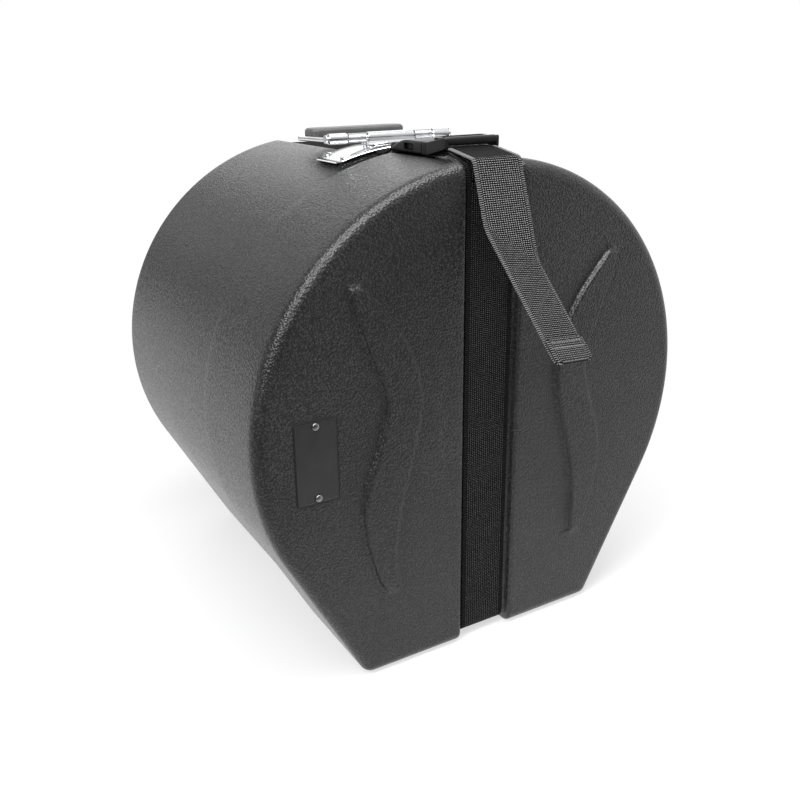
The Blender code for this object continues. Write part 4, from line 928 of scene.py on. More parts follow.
def tail_point(along, across, out):
    """Points of the loose end for arrays of places along and across it and heights above its face. The
    webbing bends like a sheet rolled round an axis that lies askew across it."""
    down = np.array((0, -math.sin(TAIL_LEAN), -math.cos(TAIL_LEAN)))
    outward = np.array((0, -math.cos(TAIL_LEAN), math.sin(TAIL_LEAN)))
    side = np.array((1.0, 0, 0))
    cos, sin = math.cos(TAIL_SKEW), math.sin(TAIL_SKEW)
    roll_axis, forward = side * cos + down * sin, down * cos - side * sin
    on_axis, reach = across * cos + along * sin, along * cos - across * sin
    bent = np.clip((reach - TAIL_BEND_START) / TAIL_BEND_RADIUS, 0, TAIL_BEND_TURN)
    straight = np.maximum(reach - TAIL_BEND_START - TAIL_BEND_RADIUS * TAIL_BEND_TURN, 0)
    level = np.minimum(reach, TAIL_BEND_START) + TAIL_BEND_RADIUS * np.sin(bent) + straight * np.cos(bent)
    lifted = TAIL_BEND_RADIUS * (1 - np.cos(bent)) + straight * np.sin(bent)
    normal = outward * np.cos(bent)[:, None] - forward * np.sin(bent)[:, None]
    return (np.array((0, *RIM)) + roll_axis * on_axis[:, None] + forward * level[:, None]
            + outward * lifted[:, None] + normal * np.asarray(out)[:, None])


lead_end = tail_point(np.array([TAIL_START]), np.zeros(1), np.zeros(1))[0]
lap_front = MIDDLE_BAR_Y - WEB_SEAT
lap_rear = MIDDLE_BAR_Y + MIDDLE_BAR_DEPTH + WEB_SEAT
lap_top = MIDDLE_BAR_BASE + MIDDLE_BAR_HEIGHT + WEB_SEAT
front_path = rounded_path(
    (front_run_y, FRONT_RUN_TOP, 0), (front_run_y, CASE_HEIGHT - CHANNEL_DEPTH + 0.0025, STRAP_CORNER),
    (ADJUSTER_Y, STRAND_Z, STRAND_RADIUS), (lap_rear, STRAND_Z, WEB_BEND), (lap_rear, lap_top, WEB_BEND),
    (lap_front, lap_top, WEB_BEND), (lap_front, SECOND_Z, WEB_BEND), (ADJUSTER_Y, SECOND_Z, STRAND_RADIUS),
    (*RIM, RIM_RADIUS), (*lead_end[1:], 0))
split = int(np.argmax(front_path[:, 0] > ADJUSTER_Y - STRAND_RADIUS))
split_place = front_path[split - 1:split + 1].mean(0)
lead = piece("strap_over_rim", run_mesh(np.vstack((front_path[:split], split_place))), webbing, None,
             smooth=True)
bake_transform(lead, "lid", "plug", start=(0, front_run_y, FRONT_RUN_TOP),
         end=(0, front_run_y + 0.004, CASE_HEIGHT - 0.001))

lap = run_frames(np.vstack((split_place, front_path[split:])))
hang = np.arange(TAIL_START, TAIL_LENGTH, PICK / PICK_SAMPLES)[1:]
fold = np.linspace(0, math.pi, 10)
flap = TAIL_LENGTH - np.arange(PICK / PICK_SAMPLES, HEM_LENGTH, PICK / PICK_SAMPLES)
hem_along = np.concatenate((hang, TAIL_LENGTH + 0 * fold, flap))
hem_turn = np.concatenate((0 * hang, fold, math.pi + 0 * flap))
hem_steps = np.abs(np.diff(hem_along, prepend=TAIL_START)) + np.diff(hem_turn, prepend=0) * FOLD_RADIUS


def tail_row(row, across, height):
    hem_row = row - len(lap[0])
    if hem_row < 0:
        return run_row(lap, row, across, height)
    along, turn = hem_along[hem_row], hem_turn[hem_row]
    short = max(TIP_CORNER - (TAIL_LENGTH - along), 0)
    tucked = TIP_CORNER - math.sqrt(TIP_CORNER ** 2 - short ** 2)
    bend = FOLD_RADIUS - height
    return tail_point(along + bend * math.sin(turn), across * (1 - 2 * tucked / WEB_WIDTH),
                      FOLD_RADIUS - bend * math.cos(turn))


piece("strap_end", web_mesh(np.concatenate((lap[0], lap[0][-1] + np.cumsum(hem_steps))), tail_row, 16),
      webbing, "plug", "strap_tail", smooth=True)


# Thread. Grey polyester, laid in rows of short arched stitches. Two rows hold the hem of the loose end, on
# its front and on its back.

STITCH_LENGTH = 0.0029
STITCH_PITCH = 0.0033
STITCH_THICK = 0.00042
HEM_MARGIN = (0.003, 0.002)
HEM_ROWS = (0.0035, 0.0085)
NEAR = 0.001


def stitch_mesh():
    """A short arched thread along X whose ends dip into the webbing."""
    turns = 2 * math.pi * np.arange(8) / 8
    rings = []
    for share in np.linspace(-1, 1, 9):
        thick = STITCH_THICK * (1 - 0.45 * share ** 4)
        lift = STITCH_THICK * (0.75 - 1.5 * share ** 4)
        ring = np.column_stack((thick * np.cos(turns), lift + thick * 0.8 * np.sin(turns)))
        rings.append(np.insert(ring, 0, STITCH_LENGTH / 2 * share, 1))
    mesh = loop_mesh(rings)
    mesh.shade_smooth()
    return mesh


thread = Finish("thread", "woven polypropylene", ior=1.5)
lay = thread.noise(thread.place(), 2200.0, 2.0, 0.6)
thread.surface(lay, ((0.3, (0.10, 0.10, 0.105)), (0.7, (0.26, 0.26, 0.27))),
               0.55 + lay * 0.2, lay, 0.00008, 0.7)

places = []
for row in HEM_ROWS:
    for out, flip in ((2 * FOLD_RADIUS + WEB_HALF_THICK - PICK_RISE, 1), (PICK_RISE - WEB_HALF_THICK, -1)):
        for across in np.arange(HEM_MARGIN[0] - WEB_WIDTH / 2, WEB_WIDTH / 2 - HEM_MARGIN[1], STITCH_PITCH):
            here, near, above = tail_point(
                np.full(3, TAIL_LENGTH - HEM_LENGTH + row), np.array((across, across + NEAR, across)),
                np.array((out, out, out + flip * NEAR)))
            places.append((here, above - here, near - here))
piece("hem_stitches", repeated(stitch_mesh(), places, thread), thread, "plug")


# The strap's rear run. It lies along the base, up the back and under the handle, then rises to the socket,
# laps its rear bar and is sewn to itself.

SOCKET_LOW, SOCKET_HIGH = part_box("buckle_socket")
REAR_BAR_DEPTH = 0.0063
REAR_BAR_BASE = BUCKLE_BASE + 0.0008
REAR_BAR_TOP = REAR_BAR_BASE + 0.0032
BODY_FLOOR = BODY_INSET + CHANNEL_DEPTH
SEWN_LENGTH = 0.016
LAYER = 2 * WEB_HALF_THICK + 0.0004
SEWN_BOX = np.array(((-0.021, 0.003), (0.021, 0.003), (0.021, 0.013), (-0.021, 0.013)))

rear_run_y = REAR_Y - CHANNEL_DEPTH + WEB_SEAT
body_run_z = BODY_FLOOR - WEB_SEAT
top_run_z = CASE_HEIGHT - BODY_FLOOR + WEB_SEAT
strand_low = BUCKLE_BASE - 0.0004
slot_leg = SOCKET_HIGH.y - REAR_BAR_DEPTH - WEB_SEAT
back_leg = SOCKET_HIGH.y + WEB_SEAT
bar_lap = REAR_BAR_TOP + WEB_SEAT
rise_start = np.array((SEAM_Y + 0.031, top_run_z))
rise_end = np.array((SEAM_Y + 0.010, strand_low))
fall = unit(rise_start - rise_end)
sewn_up = np.array((-fall[1], fall[0]))
sewn_line = rise_end + sewn_up * LAYER
sewn_top = sewn_line + fall * ((back_leg - sewn_line[0]) / fall[0])
piece("strap_on_body", run_mesh(rounded_path(
    (SEAM_Y, lid_run_z, 0), (SEAM_Y + 0.016, body_run_z, 0.012), (rear_run_y, body_run_z, STRAP_CORNER),
    (rear_run_y, top_run_z, STRAP_CORNER), (*rise_start, 0.014), (*rise_end, 0.008),
    (slot_leg, strand_low, WEB_BEND), (slot_leg, bar_lap, WEB_BEND), (back_leg, bar_lap, WEB_BEND),
    (*sewn_top, WEB_BEND), (*(sewn_top + fall * SEWN_LENGTH), 0)), 10),
    webbing, "case", "strap_rear_run", smooth=True)

# The fold is sewn with a box and its two diagonals.
places = []
for first, second in ((0, 1), (1, 2), (2, 3), (3, 0), (0, 2), (1, 3)):
    start, way = SEWN_BOX[first], SEWN_BOX[second] - SEWN_BOX[first]
    count = int(np.linalg.norm(way) / STITCH_PITCH)
    heading = unit(way)
    for step in range(count):
        across, along = start + way * (step + 0.5) / count
        place = sewn_top + fall * along + sewn_up * (WEB_HALF_THICK - PICK_RISE)
        places.append(((across, *place), (0, *sewn_up), (heading[0], *(fall * heading[1]))))
piece("fold_stitches", repeated(stitch_mesh(), places, thread), thread, "case")


# Foam. Cut blocks of closed-cell polyethylene foam: a pad behind each end wall, and two blocks on the floor
# of the body with a round seat for the drum. They are glued in.

FOAM_EDGE = 0.0022


def merged_copy(node):
    """A copy of a CAD node's mesh with its triangles joined again."""
    def merge(shaped):
        bmesh.ops.remove_doubles(shaped, verts=shaped.verts, dist=0.000005)
        bmesh.ops.dissolve_limit(shaped, angle_limit=math.radians(1), verts=shaped.verts, edges=shaped.edges)
    mesh = reshaped(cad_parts[node].data.copy(), merge)
    mesh.materials.clear()
    for key in [key.name for key in mesh.attributes if not key.is_internal and not key.is_required]:
        mesh.attributes.remove(mesh.attributes[key])
    return mesh


def bevelled(mesh, width, segments, angle):
    """The mesh with every edge that turns by more than the angle, in degrees, rounded off."""
    carrier = linked("carrier", mesh)
    edges = carrier.modifiers.new("edges", "BEVEL")
    edges.width, edges.segments = width, segments
    edges.limit_method, edges.angle_limit = "ANGLE", math.radians(angle)
    return settle(carrier)


foam = Finish("foam", ior=1.45)
spot = foam.place()
cells = foam.node("ShaderNodeTexVoronoi", {"feature": "F1"}, {"Vector": spot, "Scale": 520.0}, "Distance")
dust = foam.noise(spot, 24.0, 5.0, 0.65)
foam.surface(cells * 0.6 + dust * 0.4, ((0.2, (0.030, 0.030, 0.033)), (0.8, (0.075, 0.075, 0.080))),
             0.86 + cells * 0.1, cells, 0.0006, 0.7)
for name, node, body_name in (("foam_lid", "lid_end_pad", "lid"), ("foam_end", "body_end_pad", "case"),
                              ("foam_seat_left", "cradle_block_left", "case"),
                              ("foam_seat_right", "cradle_block_right", "case")):
    piece(name, bevelled(merged_copy(node), FOAM_EDGE, 3, 40), foam, body_name, node)


# Side-release buckle, moulded in nylon. The socket is a flat box with a throat, a window in each side for
# the prongs and a slot and bar for the strap.

BUCKLE_EDGE = 0.0014
SMALL_EDGE = 0.0006
THROAT_HALF = 0.0262
THROAT_BASE = BUCKLE_BASE + 0.003
THROAT_HEIGHT = 0.006
THROAT_LENGTH = 0.036
THROAT_TOP = THROAT_BASE + THROAT_HEIGHT
WINDOW = (0.013, 0.030)
SLOT_HALF = 0.0258
SLOT_LENGTH = 0.005
OVERCUT = 0.004
HALF_BUCKLE = SOCKET_HIGH.x
SOCKET_SIDE_EDGE = 0.0026
SOCKET_END_LIFT = 0.0006
# Along the socket: share of its length, of its thickness and of its width.
SOCKET_SHARES = ((0.0, 0.86, 0.968), (0.006, 0.96, 0.988), (0.020, 1.0, 1.0), (0.20, 1.0, 1.0),
                 (0.28, 1.0, 0.994), (0.38, 1.0, 0.986), (0.46, 0.995, 0.992), (0.52, 0.98, 1.0),
                 (0.60, 0.93, 1.0), (0.68, 0.83, 1.0), (0.76, 0.68, 0.996), (0.84, 0.535, 0.990),
                 (0.90, 0.455, 0.982), (0.95, 0.40, 0.968), (0.98, 0.35, 0.948), (0.995, 0.29, 0.925),
                 (1.0, 0.22, 0.905))


def round_ends(low_radius, high_radius, steps):
    """For each ring of a solid with rounded ends: how far it lies inside the outline, how far from its end,
    and which end that is, 0 or 1."""
    for end, radius in enumerate((low_radius, high_radius)):
        for step in range(steps + 1):
            angle = math.pi / 2 * (steps - step if end else step) / steps
            yield radius * (1 - math.sin(angle)), radius * (1 - math.cos(angle)), end


def block(low, high, radius, axis=0, steps=3):
    """A box with all of its edges rounded, built in rings along an axis."""
    rings = []
    for inset, back, end in round_ends(radius, radius, steps):
        level = high[axis] - back if end else low[axis] + back
        rings.append(level_loop(np.delete(low, axis), np.delete(high, axis), inset,
                                max(radius - inset, radius * 0.08), axis, level, steps))
    return loop_mesh(rings)


def centred(half, low, high, *form):
    """A block that reaches half its width to each side, from one (y, z) to another."""
    return block((-half, *low), (half, *high), *form)


def fitted(base, adds=(), cuts=(), crease=35):
    """A mesh with others joined to it and cut out of it, its normals weighted for flat faces."""
    carrier = linked("carrier", base)
    tools = []
    for kind, meshes in (("UNION", adds), ("DIFFERENCE", cuts)):
        for mesh in meshes:
            tools.append(linked("tool", mesh))
            step = carrier.modifiers.new(kind, "BOOLEAN")
            step.object, step.operation, step.solver = tools[-1], kind, "EXACT"
    mesh = settle(carrier)
    for tool in tools:
        bpy.data.objects.remove(tool)
    mesh.shade_smooth()
    mesh.set_sharp_from_angle(angle=math.radians(crease))
    shaded = linked("shaded", mesh)
    shaded.modifiers.new("normals", "WEIGHTED_NORMAL").keep_sharp = True
    return settle(shaded)


nylon = Finish("buckle nylon", ior=1.53, specular_ior_level=0.25)
spot = nylon.place()
moulding = nylon.noise(spot, 700.0, 3.0, 0.6)
rub = nylon.noise(spot, 55.0, 6.0, 0.75)
nylon.surface(rub * 0.7 + moulding * 0.3, ((0.3, (0.004, 0.004, 0.004)), (0.8, (0.012, 0.012, 0.013))),
              0.26 + rub * 0.18 + moulding * 0.08, moulding, 0.00005, 0.7)

front, rear = SOCKET_LOW.y, SOCKET_HIGH.y
bar_y = rear - REAR_BAR_DEPTH
slot_y = bar_y - SLOT_LENGTH
under, over = SOCKET_LOW.z - OVERCUT, SOCKET_HIGH.z + OVERCUT
rings = []
for along, thick, wide in SOCKET_SHARES:
    base = SOCKET_LOW.z + (SOCKET_END_LIFT if along in (0.0, 1.0) else 0.0)
    top = SOCKET_LOW.z + (SOCKET_HIGH.z - SOCKET_LOW.z) * thick
    reach = HALF_BUCKLE * wide
    rings.append(level_loop((-reach, base), (reach, top), 0, min(SOCKET_SIDE_EDGE, (top - base) / 2.2), 1,
                            front + (rear - front) * along))
piece("buckle_socket_body", fitted(loop_mesh(rings), cuts=[
    centred(THROAT_HALF, (front - OVERCUT, THROAT_BASE), (front + THROAT_LENGTH, THROAT_TOP), SMALL_EDGE, 1),
    centred(HALF_BUCKLE + OVERCUT, (front + WINDOW[0], THROAT_BASE), (front + WINDOW[1], THROAT_TOP), 0.0015),
    centred(SLOT_HALF, (slot_y, under), (bar_y, over), 0.0012, 2),
    centred(SLOT_HALF, (slot_y + SLOT_LENGTH / 2, REAR_BAR_TOP), (rear + OVERCUT, over), SMALL_EDGE),
    centred(SLOT_HALF, (slot_y + SLOT_LENGTH / 2, under), (rear + OVERCUT, REAR_BAR_BASE), SMALL_EDGE)]),
    nylon, "case", "buckle_socket")


# Buckle plug with its ladder adjuster, one nylon moulding: a block with a shoulder and a tongue, two side
# rails, and two round bars that the strap passes and laps.

RAIL_WIDTH = 0.0034
RAIL_CORNER = 0.0012
PLUG_BLOCK_Y = ADJUSTER_Y + 0.030
PLUG_SHOULDER_Y = PLUG_BLOCK_Y + 0.008
FRONT_BAR_TOP = SOCKET_HIGH.z + 0.0055
FRONT_BAR = (0.007, 0.0072)
BAR_HALF = HALF_BUCKLE - RAIL_WIDTH / 2
GRIP_RIDGES = 3
GRIP_RIDGE_PITCH = 0.0017
GRIP_RIDGE_RISE = 0.0002
GRIP_RIDGE_MARGIN = 0.0018
TONGUE = (0.004, 0.028, 0.0046)
# Along a rail: y, heights above the buckle's base and above the socket's top, and how far its side lies in.
RAIL_STATIONS = (
    (ADJUSTER_Y + 0.0001, 0.0082, 0.0042, 0.0010), (ADJUSTER_Y + 0.0012, 0.0070, 0.0053, 0.0002),
    (ADJUSTER_Y + 0.006, 0.0056, 0.0046, 0.0), (PLUG_BLOCK_Y - 0.003, 0.0006, 0.0006, 0.0),
    (PLUG_BLOCK_Y + 0.0015, 0.0, 0.0, 0.0004))

tongue_base = (THROAT_BASE + THROAT_TOP - TONGUE[2]) / 2
plug_adds = [
    centred(BAR_HALF, (ADJUSTER_Y, FRONT_BAR_TOP - FRONT_BAR[1]), (ADJUSTER_Y + FRONT_BAR[0], FRONT_BAR_TOP),
            0.0028, 0, 5),
    centred(BAR_HALF, (MIDDLE_BAR_Y, MIDDLE_BAR_BASE),
            (MIDDLE_BAR_Y + MIDDLE_BAR_DEPTH, MIDDLE_BAR_BASE + MIDDLE_BAR_HEIGHT), 0.0022, 0, 5),
    centred(TONGUE[0], (PLUG_SHOULDER_Y - 0.0015, tongue_base),
            (PLUG_SHOULDER_Y + TONGUE[1], tongue_base + TONGUE[2]), SMALL_EDGE, 1)]
for side in (-1, 1):
    rings = []
    for y, low_z, high_z, narrow in RAIL_STATIONS:
        near, far = sorted((side * (HALF_BUCKLE - RAIL_WIDTH), side * (HALF_BUCKLE - narrow)))
        rings.append(level_loop((near, BUCKLE_BASE + low_z), (far, SOCKET_HIGH.z + high_z), 0,
                                RAIL_CORNER, 1, y, 4))
    plug_adds.append(loop_mesh(rings))
for side in (-1, 1):
    near, far = sorted((side * (HALF_BUCKLE - 0.0012), side * (HALF_BUCKLE + GRIP_RIDGE_RISE)))
    for step in range(GRIP_RIDGES):
        middle = PLUG_BLOCK_Y + 0.0022 + step * GRIP_RIDGE_PITCH
        plug_adds.append(block(
            (near, middle - GRIP_RIDGE_PITCH * 0.3, SOCKET_LOW.z + GRIP_RIDGE_MARGIN),
            (far, middle + GRIP_RIDGE_PITCH * 0.3, SOCKET_HIGH.z - GRIP_RIDGE_MARGIN), 0.00035, 2, 2))
plug_block = centred(HALF_BUCKLE, (PLUG_BLOCK_Y, SOCKET_LOW.z), (PLUG_SHOULDER_Y, SOCKET_HIGH.z),
                     BUCKLE_EDGE, 1, 4)
piece("buckle_plug_body", fitted(plug_block, plug_adds), nylon, "plug", "buckle_plug")


# Buckle prongs. Springy nylon arms inside the socket, one at each side. Their ribbed thumb pads fill its
# side windows and are squeezed to open it.

RIDGE_PITCH = 0.0019
RIDGE_DEPTH = 0.0005
PRONG_ROOT = 0.0045
PRONG_EDGE = 0.0003
for side, place in ((-1, "left"), (1, "right")):
    low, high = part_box("buckle_prong_" + place)
    near_x, far_x = sorted((abs(low.x), abs(high.x)))
    root_x = near_x + PRONG_ROOT
    plan = [(near_x, low.y), (root_x, low.y), (root_x, low.y + 0.0075), (far_x - 0.0006, low.y + 0.0115)]
    for y in np.arange(low.y + 0.0125, high.y - 0.0022, RIDGE_PITCH):
        plan += [(far_x - depth, y + RIDGE_PITCH * share) for depth, share in (
            (0, 0), (0, 0.5), (RIDGE_DEPTH, 0.62), (RIDGE_DEPTH, 0.88))]
    plan += [(far_x, high.y - 0.0012), (far_x - 0.0012, high.y), (near_x, high.y)]
    plan = np.array(plan) * (side, 1)
    arm = loop_mesh([np.insert(plan, 2, z, 1) for z in (low.z, high.z)])
    piece("buckle_thumb_" + place, bevelled(arm, PRONG_EDGE, 2, 50), nylon, "prong " + place,
          "buckle_prong_" + place)


# Handle plate. Pressed steel, chromed, bent to the crown. It lies on the body's raised pad, held by four
# rivets.

PLATE_LOW, PLATE_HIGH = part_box("handle_plate")
PLATE_THICK = 0.0013
PLATE_CORNER = 0.007
PLATE_EDGE = 0.0004
BEND_CUTS = 48


def crown_sheet(low, high, corner, edge, base, thick, cuts=BEND_CUTS):
    """A sheet from one (x, y) to another with rounded corners and softened edges, cut across in narrow
    strips and laid on the crown. base is its height above the pad."""
    rings = [level_loop(low, high, inset, corner - inset, 2, z, 8) for inset, z in (
        (edge, base), (0, base + edge), (0, base + thick - edge), (edge, base + thick))]

    def bend(shaped):
        for step in range(1, cuts):
            bmesh.ops.bisect_plane(shaped, geom=shaped.verts[:] + shaped.edges[:] + shaped.faces[:],
                                   plane_co=(high[0] * (2 * step / cuts - 1), 0, 0), plane_no=(1, 0, 0))
        for vert in shaped.verts:
            vert.co.z = float(crown_height(vert.co.x, -vert.co.z))
        outwards(shaped)
    return reshaped(loop_mesh(rings), bend)


chrome = worn_metal("chromed steel", (0.72, 0.73, 0.74), (0.90, 0.90, 0.91), 0.05, 0.07, 0.00002)
plate = crown_sheet(PLATE_LOW.xy, PLATE_HIGH.xy, PLATE_CORNER, PLATE_EDGE, SEAT, PLATE_THICK)
piece("handle_base", fitted(plate), chrome, "case", "handle_plate")


# Handle rivets. Four domed, chromed rivets hold the plate. Behind the wall, each has a steel washer, which
# is the CAD's own piece.

HANDLE_HEAD = (0.0046, 0.0018)
HANDLE_SHANK = 0.0022
HANDLE_TAIL = (0.0038, 0.0014)
RIVET_MARGIN = 0.011
WASHER_ROOM = 0.0016
PLATE_TOP = SEAT + PLATE_THICK
rivet_names = [f"handle_rivet_{end}_{side}" for end in ("front", "rear") for side in ("left", "right")]
places = []
for node in rivet_names:
    low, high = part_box(node)
    x = math.copysign(PLATE_HIGH.x - RIVET_MARGIN, low.x)
    share = x / (CASE_WIDTH / 2)
    slope = math.atan2(share / (CASE_WIDTH / 2), math.sqrt(1 - share ** 2) / CROWN_HALF)
    outward = np.array((math.sin(slope), 0, math.cos(slope)))
    seat = np.array((x, (low.y + high.y) / 2, float(crown_height(x, -PLATE_TOP))))
    places.append((seat + outward * 0.0001, outward, (0, 1, 0)))
drop = PLATE_TOP + BODY_INSET + WALL + WASHER_ROOM
rivet = rivet_mesh(HANDLE_HEAD, HANDLE_SHANK, drop, HANDLE_TAIL)
piece("handle_rivets", repeated(rivet, places, chrome), chrome, "case", *rivet_names)
zinc = worn_metal("zinc steel", (0.50, 0.51, 0.52), (0.74, 0.75, 0.76), 0.20, 0.12, 0.00003)
for name in [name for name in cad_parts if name.startswith("handle_washer")]:
    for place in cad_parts[name].material_slots:
        place.material = zinc.material


# Hinge barrel. A chromed steel strip rolled round the rod, its two flanges welded to the plate. Its foot
# follows the crown.

BARREL_LOW, BARREL_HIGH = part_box("handle_barrel")
BARREL_RADIUS = 0.005
BARREL_HALF = BARREL_HIGH.x
BARREL_END = 0.0005
ROD_RADIUS = 0.0025
HINGE_Y = (BARREL_LOW.y + BARREL_HIGH.y) / 2
HINGE_Z = BARREL_HIGH.z - BARREL_RADIUS
FLANGE = 0.0013
SKIRT_HALF = BARREL_RADIUS + 0.0008


def prism(profile, low_x, high_x, edge=0.0):
    """A (y, z) outline drawn along X, a little smaller at both ends."""
    middle = profile.mean(0)
    away = profile - middle
    rings = []
    for x, shrink in ((low_x, edge), (low_x + edge, 0), (high_x - edge, 0), (high_x, edge)):
        ring = middle + away * (1 - shrink / np.linalg.norm(away, axis=1)[:, None])
        rings.append(np.insert(ring, 0, x, 1))
    return loop_mesh(rings)


def round_rod(radius, low_x, high_x, edge=0.0):
    angles = 2 * math.pi * np.arange(40) / 40
    return prism(np.column_stack((HINGE_Y + radius * np.cos(angles), HINGE_Z + radius * np.sin(angles))),
                 low_x, high_x, edge)


bore = round_rod(ROD_RADIUS + SEAT, -0.09, 0.09)
skirt_z = float(crown_height(BARREL_HALF, -PLATE_TOP))
arc = np.radians(np.arange(-8, 189, 7))
tube = np.column_stack((BARREL_RADIUS * np.cos(arc), HINGE_Z + BARREL_RADIUS * np.sin(arc)))
foot = np.array(((BARREL_RADIUS * 0.93, HINGE_Z - 0.0035), (SKIRT_HALF, skirt_z + 0.0014),
                 (SKIRT_HALF, skirt_z - 0.0002)))
outline = np.vstack((tube, foot * (-1, 1), foot[::-1])) + (HINGE_Y, 0)
flange = crown_sheet((-BARREL_HALF, BARREL_LOW.y), (BARREL_HALF, BARREL_HIGH.y), 0.003, 0.0004,
                     PLATE_TOP + SEAT, FLANGE, 16)
below = crown_sheet((-BARREL_HALF - OVERCUT, BARREL_LOW.y - OVERCUT),
                    (BARREL_HALF + OVERCUT, BARREL_HIGH.y + OVERCUT), 0.001, 0.0002,
                    -OVERCUT, OVERCUT + PLATE_TOP + SEAT, 24)
barrel = prism(outline, -BARREL_HALF, BARREL_HALF, BARREL_END)
piece("handle_hinge", fitted(barrel, [flange], [bore, below], 30), chrome, "case", "handle_barrel")


# Hinge rod and its keeper. A plated steel rod with a head at one end and a pressed keeper on the other. The
# springs, the barrel and the handle's knuckles sit on it.

def on_rod(profile):
    """A solid of revolution round the hinge rod, from pairs of (x, radius)."""
    mesh = turned_mesh(profile)
    mesh.transform(Matrix(((0, 0, 1, 0), (1, 0, 0, HINGE_Y), (0, 1, 0, HINGE_Z), (0, 0, 0, 1))))
    return mesh


for name, node, crease, outline in (
        ("handle_pin", "handle_rod", 35, lambda start, end, wide: (
            (start, wide * 0.72), (start + 0.0004, wide * 0.95), (start + 0.0010, wide),
            (start + 0.0015, wide * 0.96), (start + 0.0015, ROD_RADIUS), (end - 0.0005, ROD_RADIUS),
            (end, ROD_RADIUS - 0.0005))),
        ("handle_keeper", "handle_rod_keeper", 30, lambda start, end, wide: (
            (start, ROD_RADIUS + 0.0001), (start, wide - 0.0003), (start + 0.0003, wide),
            (end - 0.0004, wide), (end, wide - 0.0012), (end, ROD_RADIUS + 0.0001)))):
    low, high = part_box(node)
    mesh = on_rod(outline(low.x, high.x, (high.z - low.z) / 2))
    piece(name, fitted(mesh, crease=crease), zinc, "case", node)


# Handle springs. Round steel wire wound in close turns round the rod, one leg on the plate and one on the
# handle's knuckle. They fold the handle flat.

SPRING_RADIUS = 0.0040
WIRE_RADIUS = 0.0006
WIRE_SIDES = 10
SPRING_TURNS = 13
SPRING_ROOM = 0.0016
TURN_STEPS = 24

# A round wire along a chain of points.
wire_on_points = node_tree(
    "wire along points", (("Chain", "Geometry"), ("Radius", "Float"), ("Sides", "Int")), "Wire",
    (("line", "GeometryNodeMeshToCurve", {}), ("ring", "GeometryNodeCurvePrimitiveCircle", {}),
     ("skin", "GeometryNodeCurveToMesh", {"Fill Caps": True})),
    (("given", "Chain", "line", "Mesh"), ("given", "Radius", "ring", "Radius"),
     ("given", "Sides", "ring", "Resolution"), ("line", "Curve", "skin", "Curve"),
     ("ring", "Curve", "skin", "Profile Curve"), ("skin", "Mesh", "real", "Geometry")))
for side, place in ((-1, "left"), (1, "right")):
    low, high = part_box("handle_spring_" + place)
    start_x = BARREL_HALF + SPRING_ROOM
    end_x = max(abs(low.x), abs(high.x)) - SPRING_ROOM + 0.0009
    chain = [(side * start_x, HINGE_Y + SPRING_RADIUS,
              float(crown_height(start_x, -(PLATE_TOP + SEAT + WIRE_RADIUS))))]
    for step in range(SPRING_TURNS * TURN_STEPS + 1):
        angle = 2 * math.pi * step / TURN_STEPS
        chain.append((side * (start_x + (end_x - start_x) * step / (SPRING_TURNS * TURN_STEPS)),
                      HINGE_Y + SPRING_RADIUS * math.cos(angle), HINGE_Z + SPRING_RADIUS * math.sin(angle)))
    chain.append((side * (end_x + SPRING_ROOM - SEAT), *chain[-1][1:]))
    chain_mesh = bpy.data.meshes.new("chain")
    chain_mesh.from_pydata(chain, [(k, k + 1) for k in range(len(chain) - 1)], [])
    coil = grow(chain_mesh, wire_on_points, {
        "Radius": WIRE_RADIUS, "Sides": WIRE_SIDES, "Finish": zinc.material})
    piece("handle_coil_" + place, reshaped(coil, tidied), zinc, "case", "handle_spring_" + place, smooth=True)


# Handle bail. A flat chromed bar bent twice, with a rolled knuckle at the end of each arm. The knuckles turn
# on the rod.

KNUCKLE_X = (0.0480, 0.068)
ARM_WIDTH = 0.008
ARM_HEIGHT = 0.0045
ARM_START_Z = HINGE_Z - 0.0012
ARM_END_Z = HINGE_Z - 0.003
ARM_EDGE = 0.0014
BAIL_BEND = 0.0072
BAIL_STEPS = 12
GRIP_LOW, GRIP_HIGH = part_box("handle_grip")
GRIP_Y = (GRIP_LOW.y + GRIP_HIGH.y) / 2

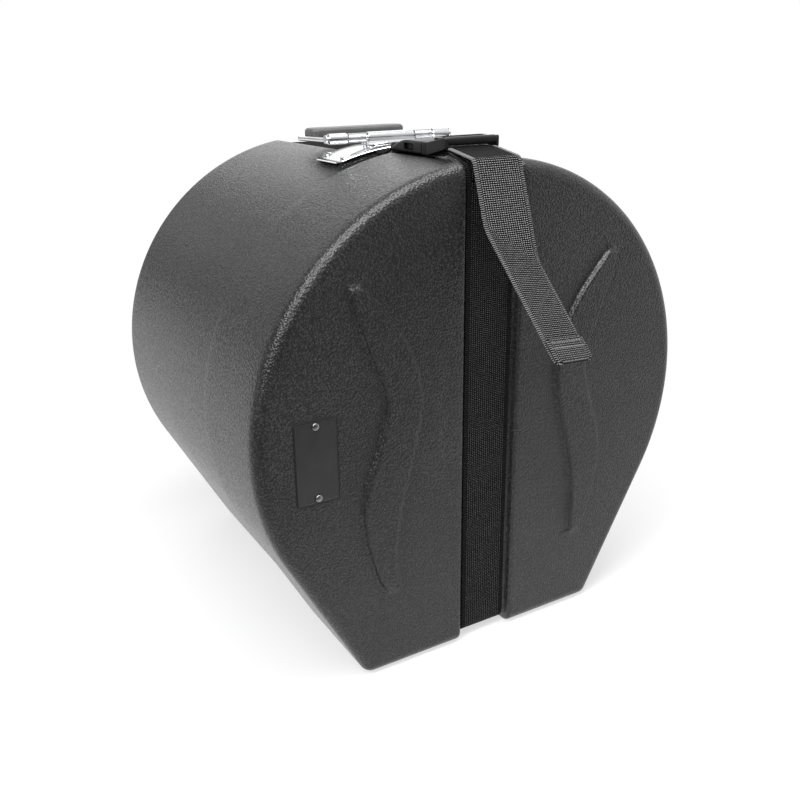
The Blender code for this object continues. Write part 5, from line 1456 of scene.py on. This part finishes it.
middle_x = KNUCKLE_X[1] - ARM_WIDTH / 2
plan = [(middle_x, HINGE_Y, 1, 0, ARM_START_Z)]
for step in range(BAIL_STEPS + 1):
    angle = math.pi / 2 * step / BAIL_STEPS
    across, along = math.cos(angle), math.sin(angle)
    plan.append((middle_x - BAIL_BEND * (1 - across), GRIP_Y - BAIL_BEND * (1 - along), across, along,
                 ARM_END_Z))
section = rounded_loop((-ARM_WIDTH / 2, -ARM_HEIGHT / 2), (ARM_WIDTH / 2, ARM_HEIGHT / 2), ARM_EDGE, 4)
rings = [np.column_stack((side * (x + across * section[:, 0]), y + along * section[:, 0], z + section[:, 1]))
         for side, stations in ((-1, plan), (1, plan[::-1])) for x, y, across, along, z in stations]
knuckles = [round_rod(BARREL_RADIUS, *sorted((side * KNUCKLE_X[0], side * KNUCKLE_X[1])), 0.0008)
            for side in (-1, 1)]
piece("handle_bow", fitted(loop_mesh(rings), knuckles, [bore], 30), chrome, "handle", "handle_bail")


# Handle grip. Soft dark vinyl moulded on the bail's middle, flat above and rounded at its ends, and more
# rounded below.

GRIP_CORNER = 0.0105
GRIP_TOP_EDGE = 0.0034
GRIP_LOW_EDGE = 0.0058
GRIP_STEPS = 7

vinyl = Finish("grip vinyl", ior=1.5)
spot = vinyl.place()
leather = vinyl.pebbled(spot, 950.0, 0.5)
handling = vinyl.noise(spot, 40.0, 5.0, 0.7)
vinyl.surface(handling * 0.7 + leather * 0.3, ((0.3, (0.062, 0.062, 0.063)), (0.8, (0.108, 0.108, 0.110))),
              0.34 + handling * 0.2, leather, 0.00012, 0.6)
rings = [level_loop(GRIP_LOW.xy, GRIP_HIGH.xy, inset, GRIP_CORNER - inset, 2,
                    GRIP_HIGH.z - back if end else GRIP_LOW.z + back, 8)
         for inset, back, end in round_ends(GRIP_LOW_EDGE, GRIP_TOP_EDGE, GRIP_STEPS)]
channel = centred(0.07, (GRIP_Y - ARM_WIDTH / 2 - SEAT, ARM_END_Z - ARM_HEIGHT / 2 - SEAT),
                  (GRIP_Y + ARM_WIDTH / 2 + SEAT, ARM_END_Z + ARM_HEIGHT / 2 + SEAT), ARM_EDGE)
piece("handle_cover", fitted(loop_mesh(rings), cuts=[channel], crease=50), vinyl, "handle", "handle_grip")
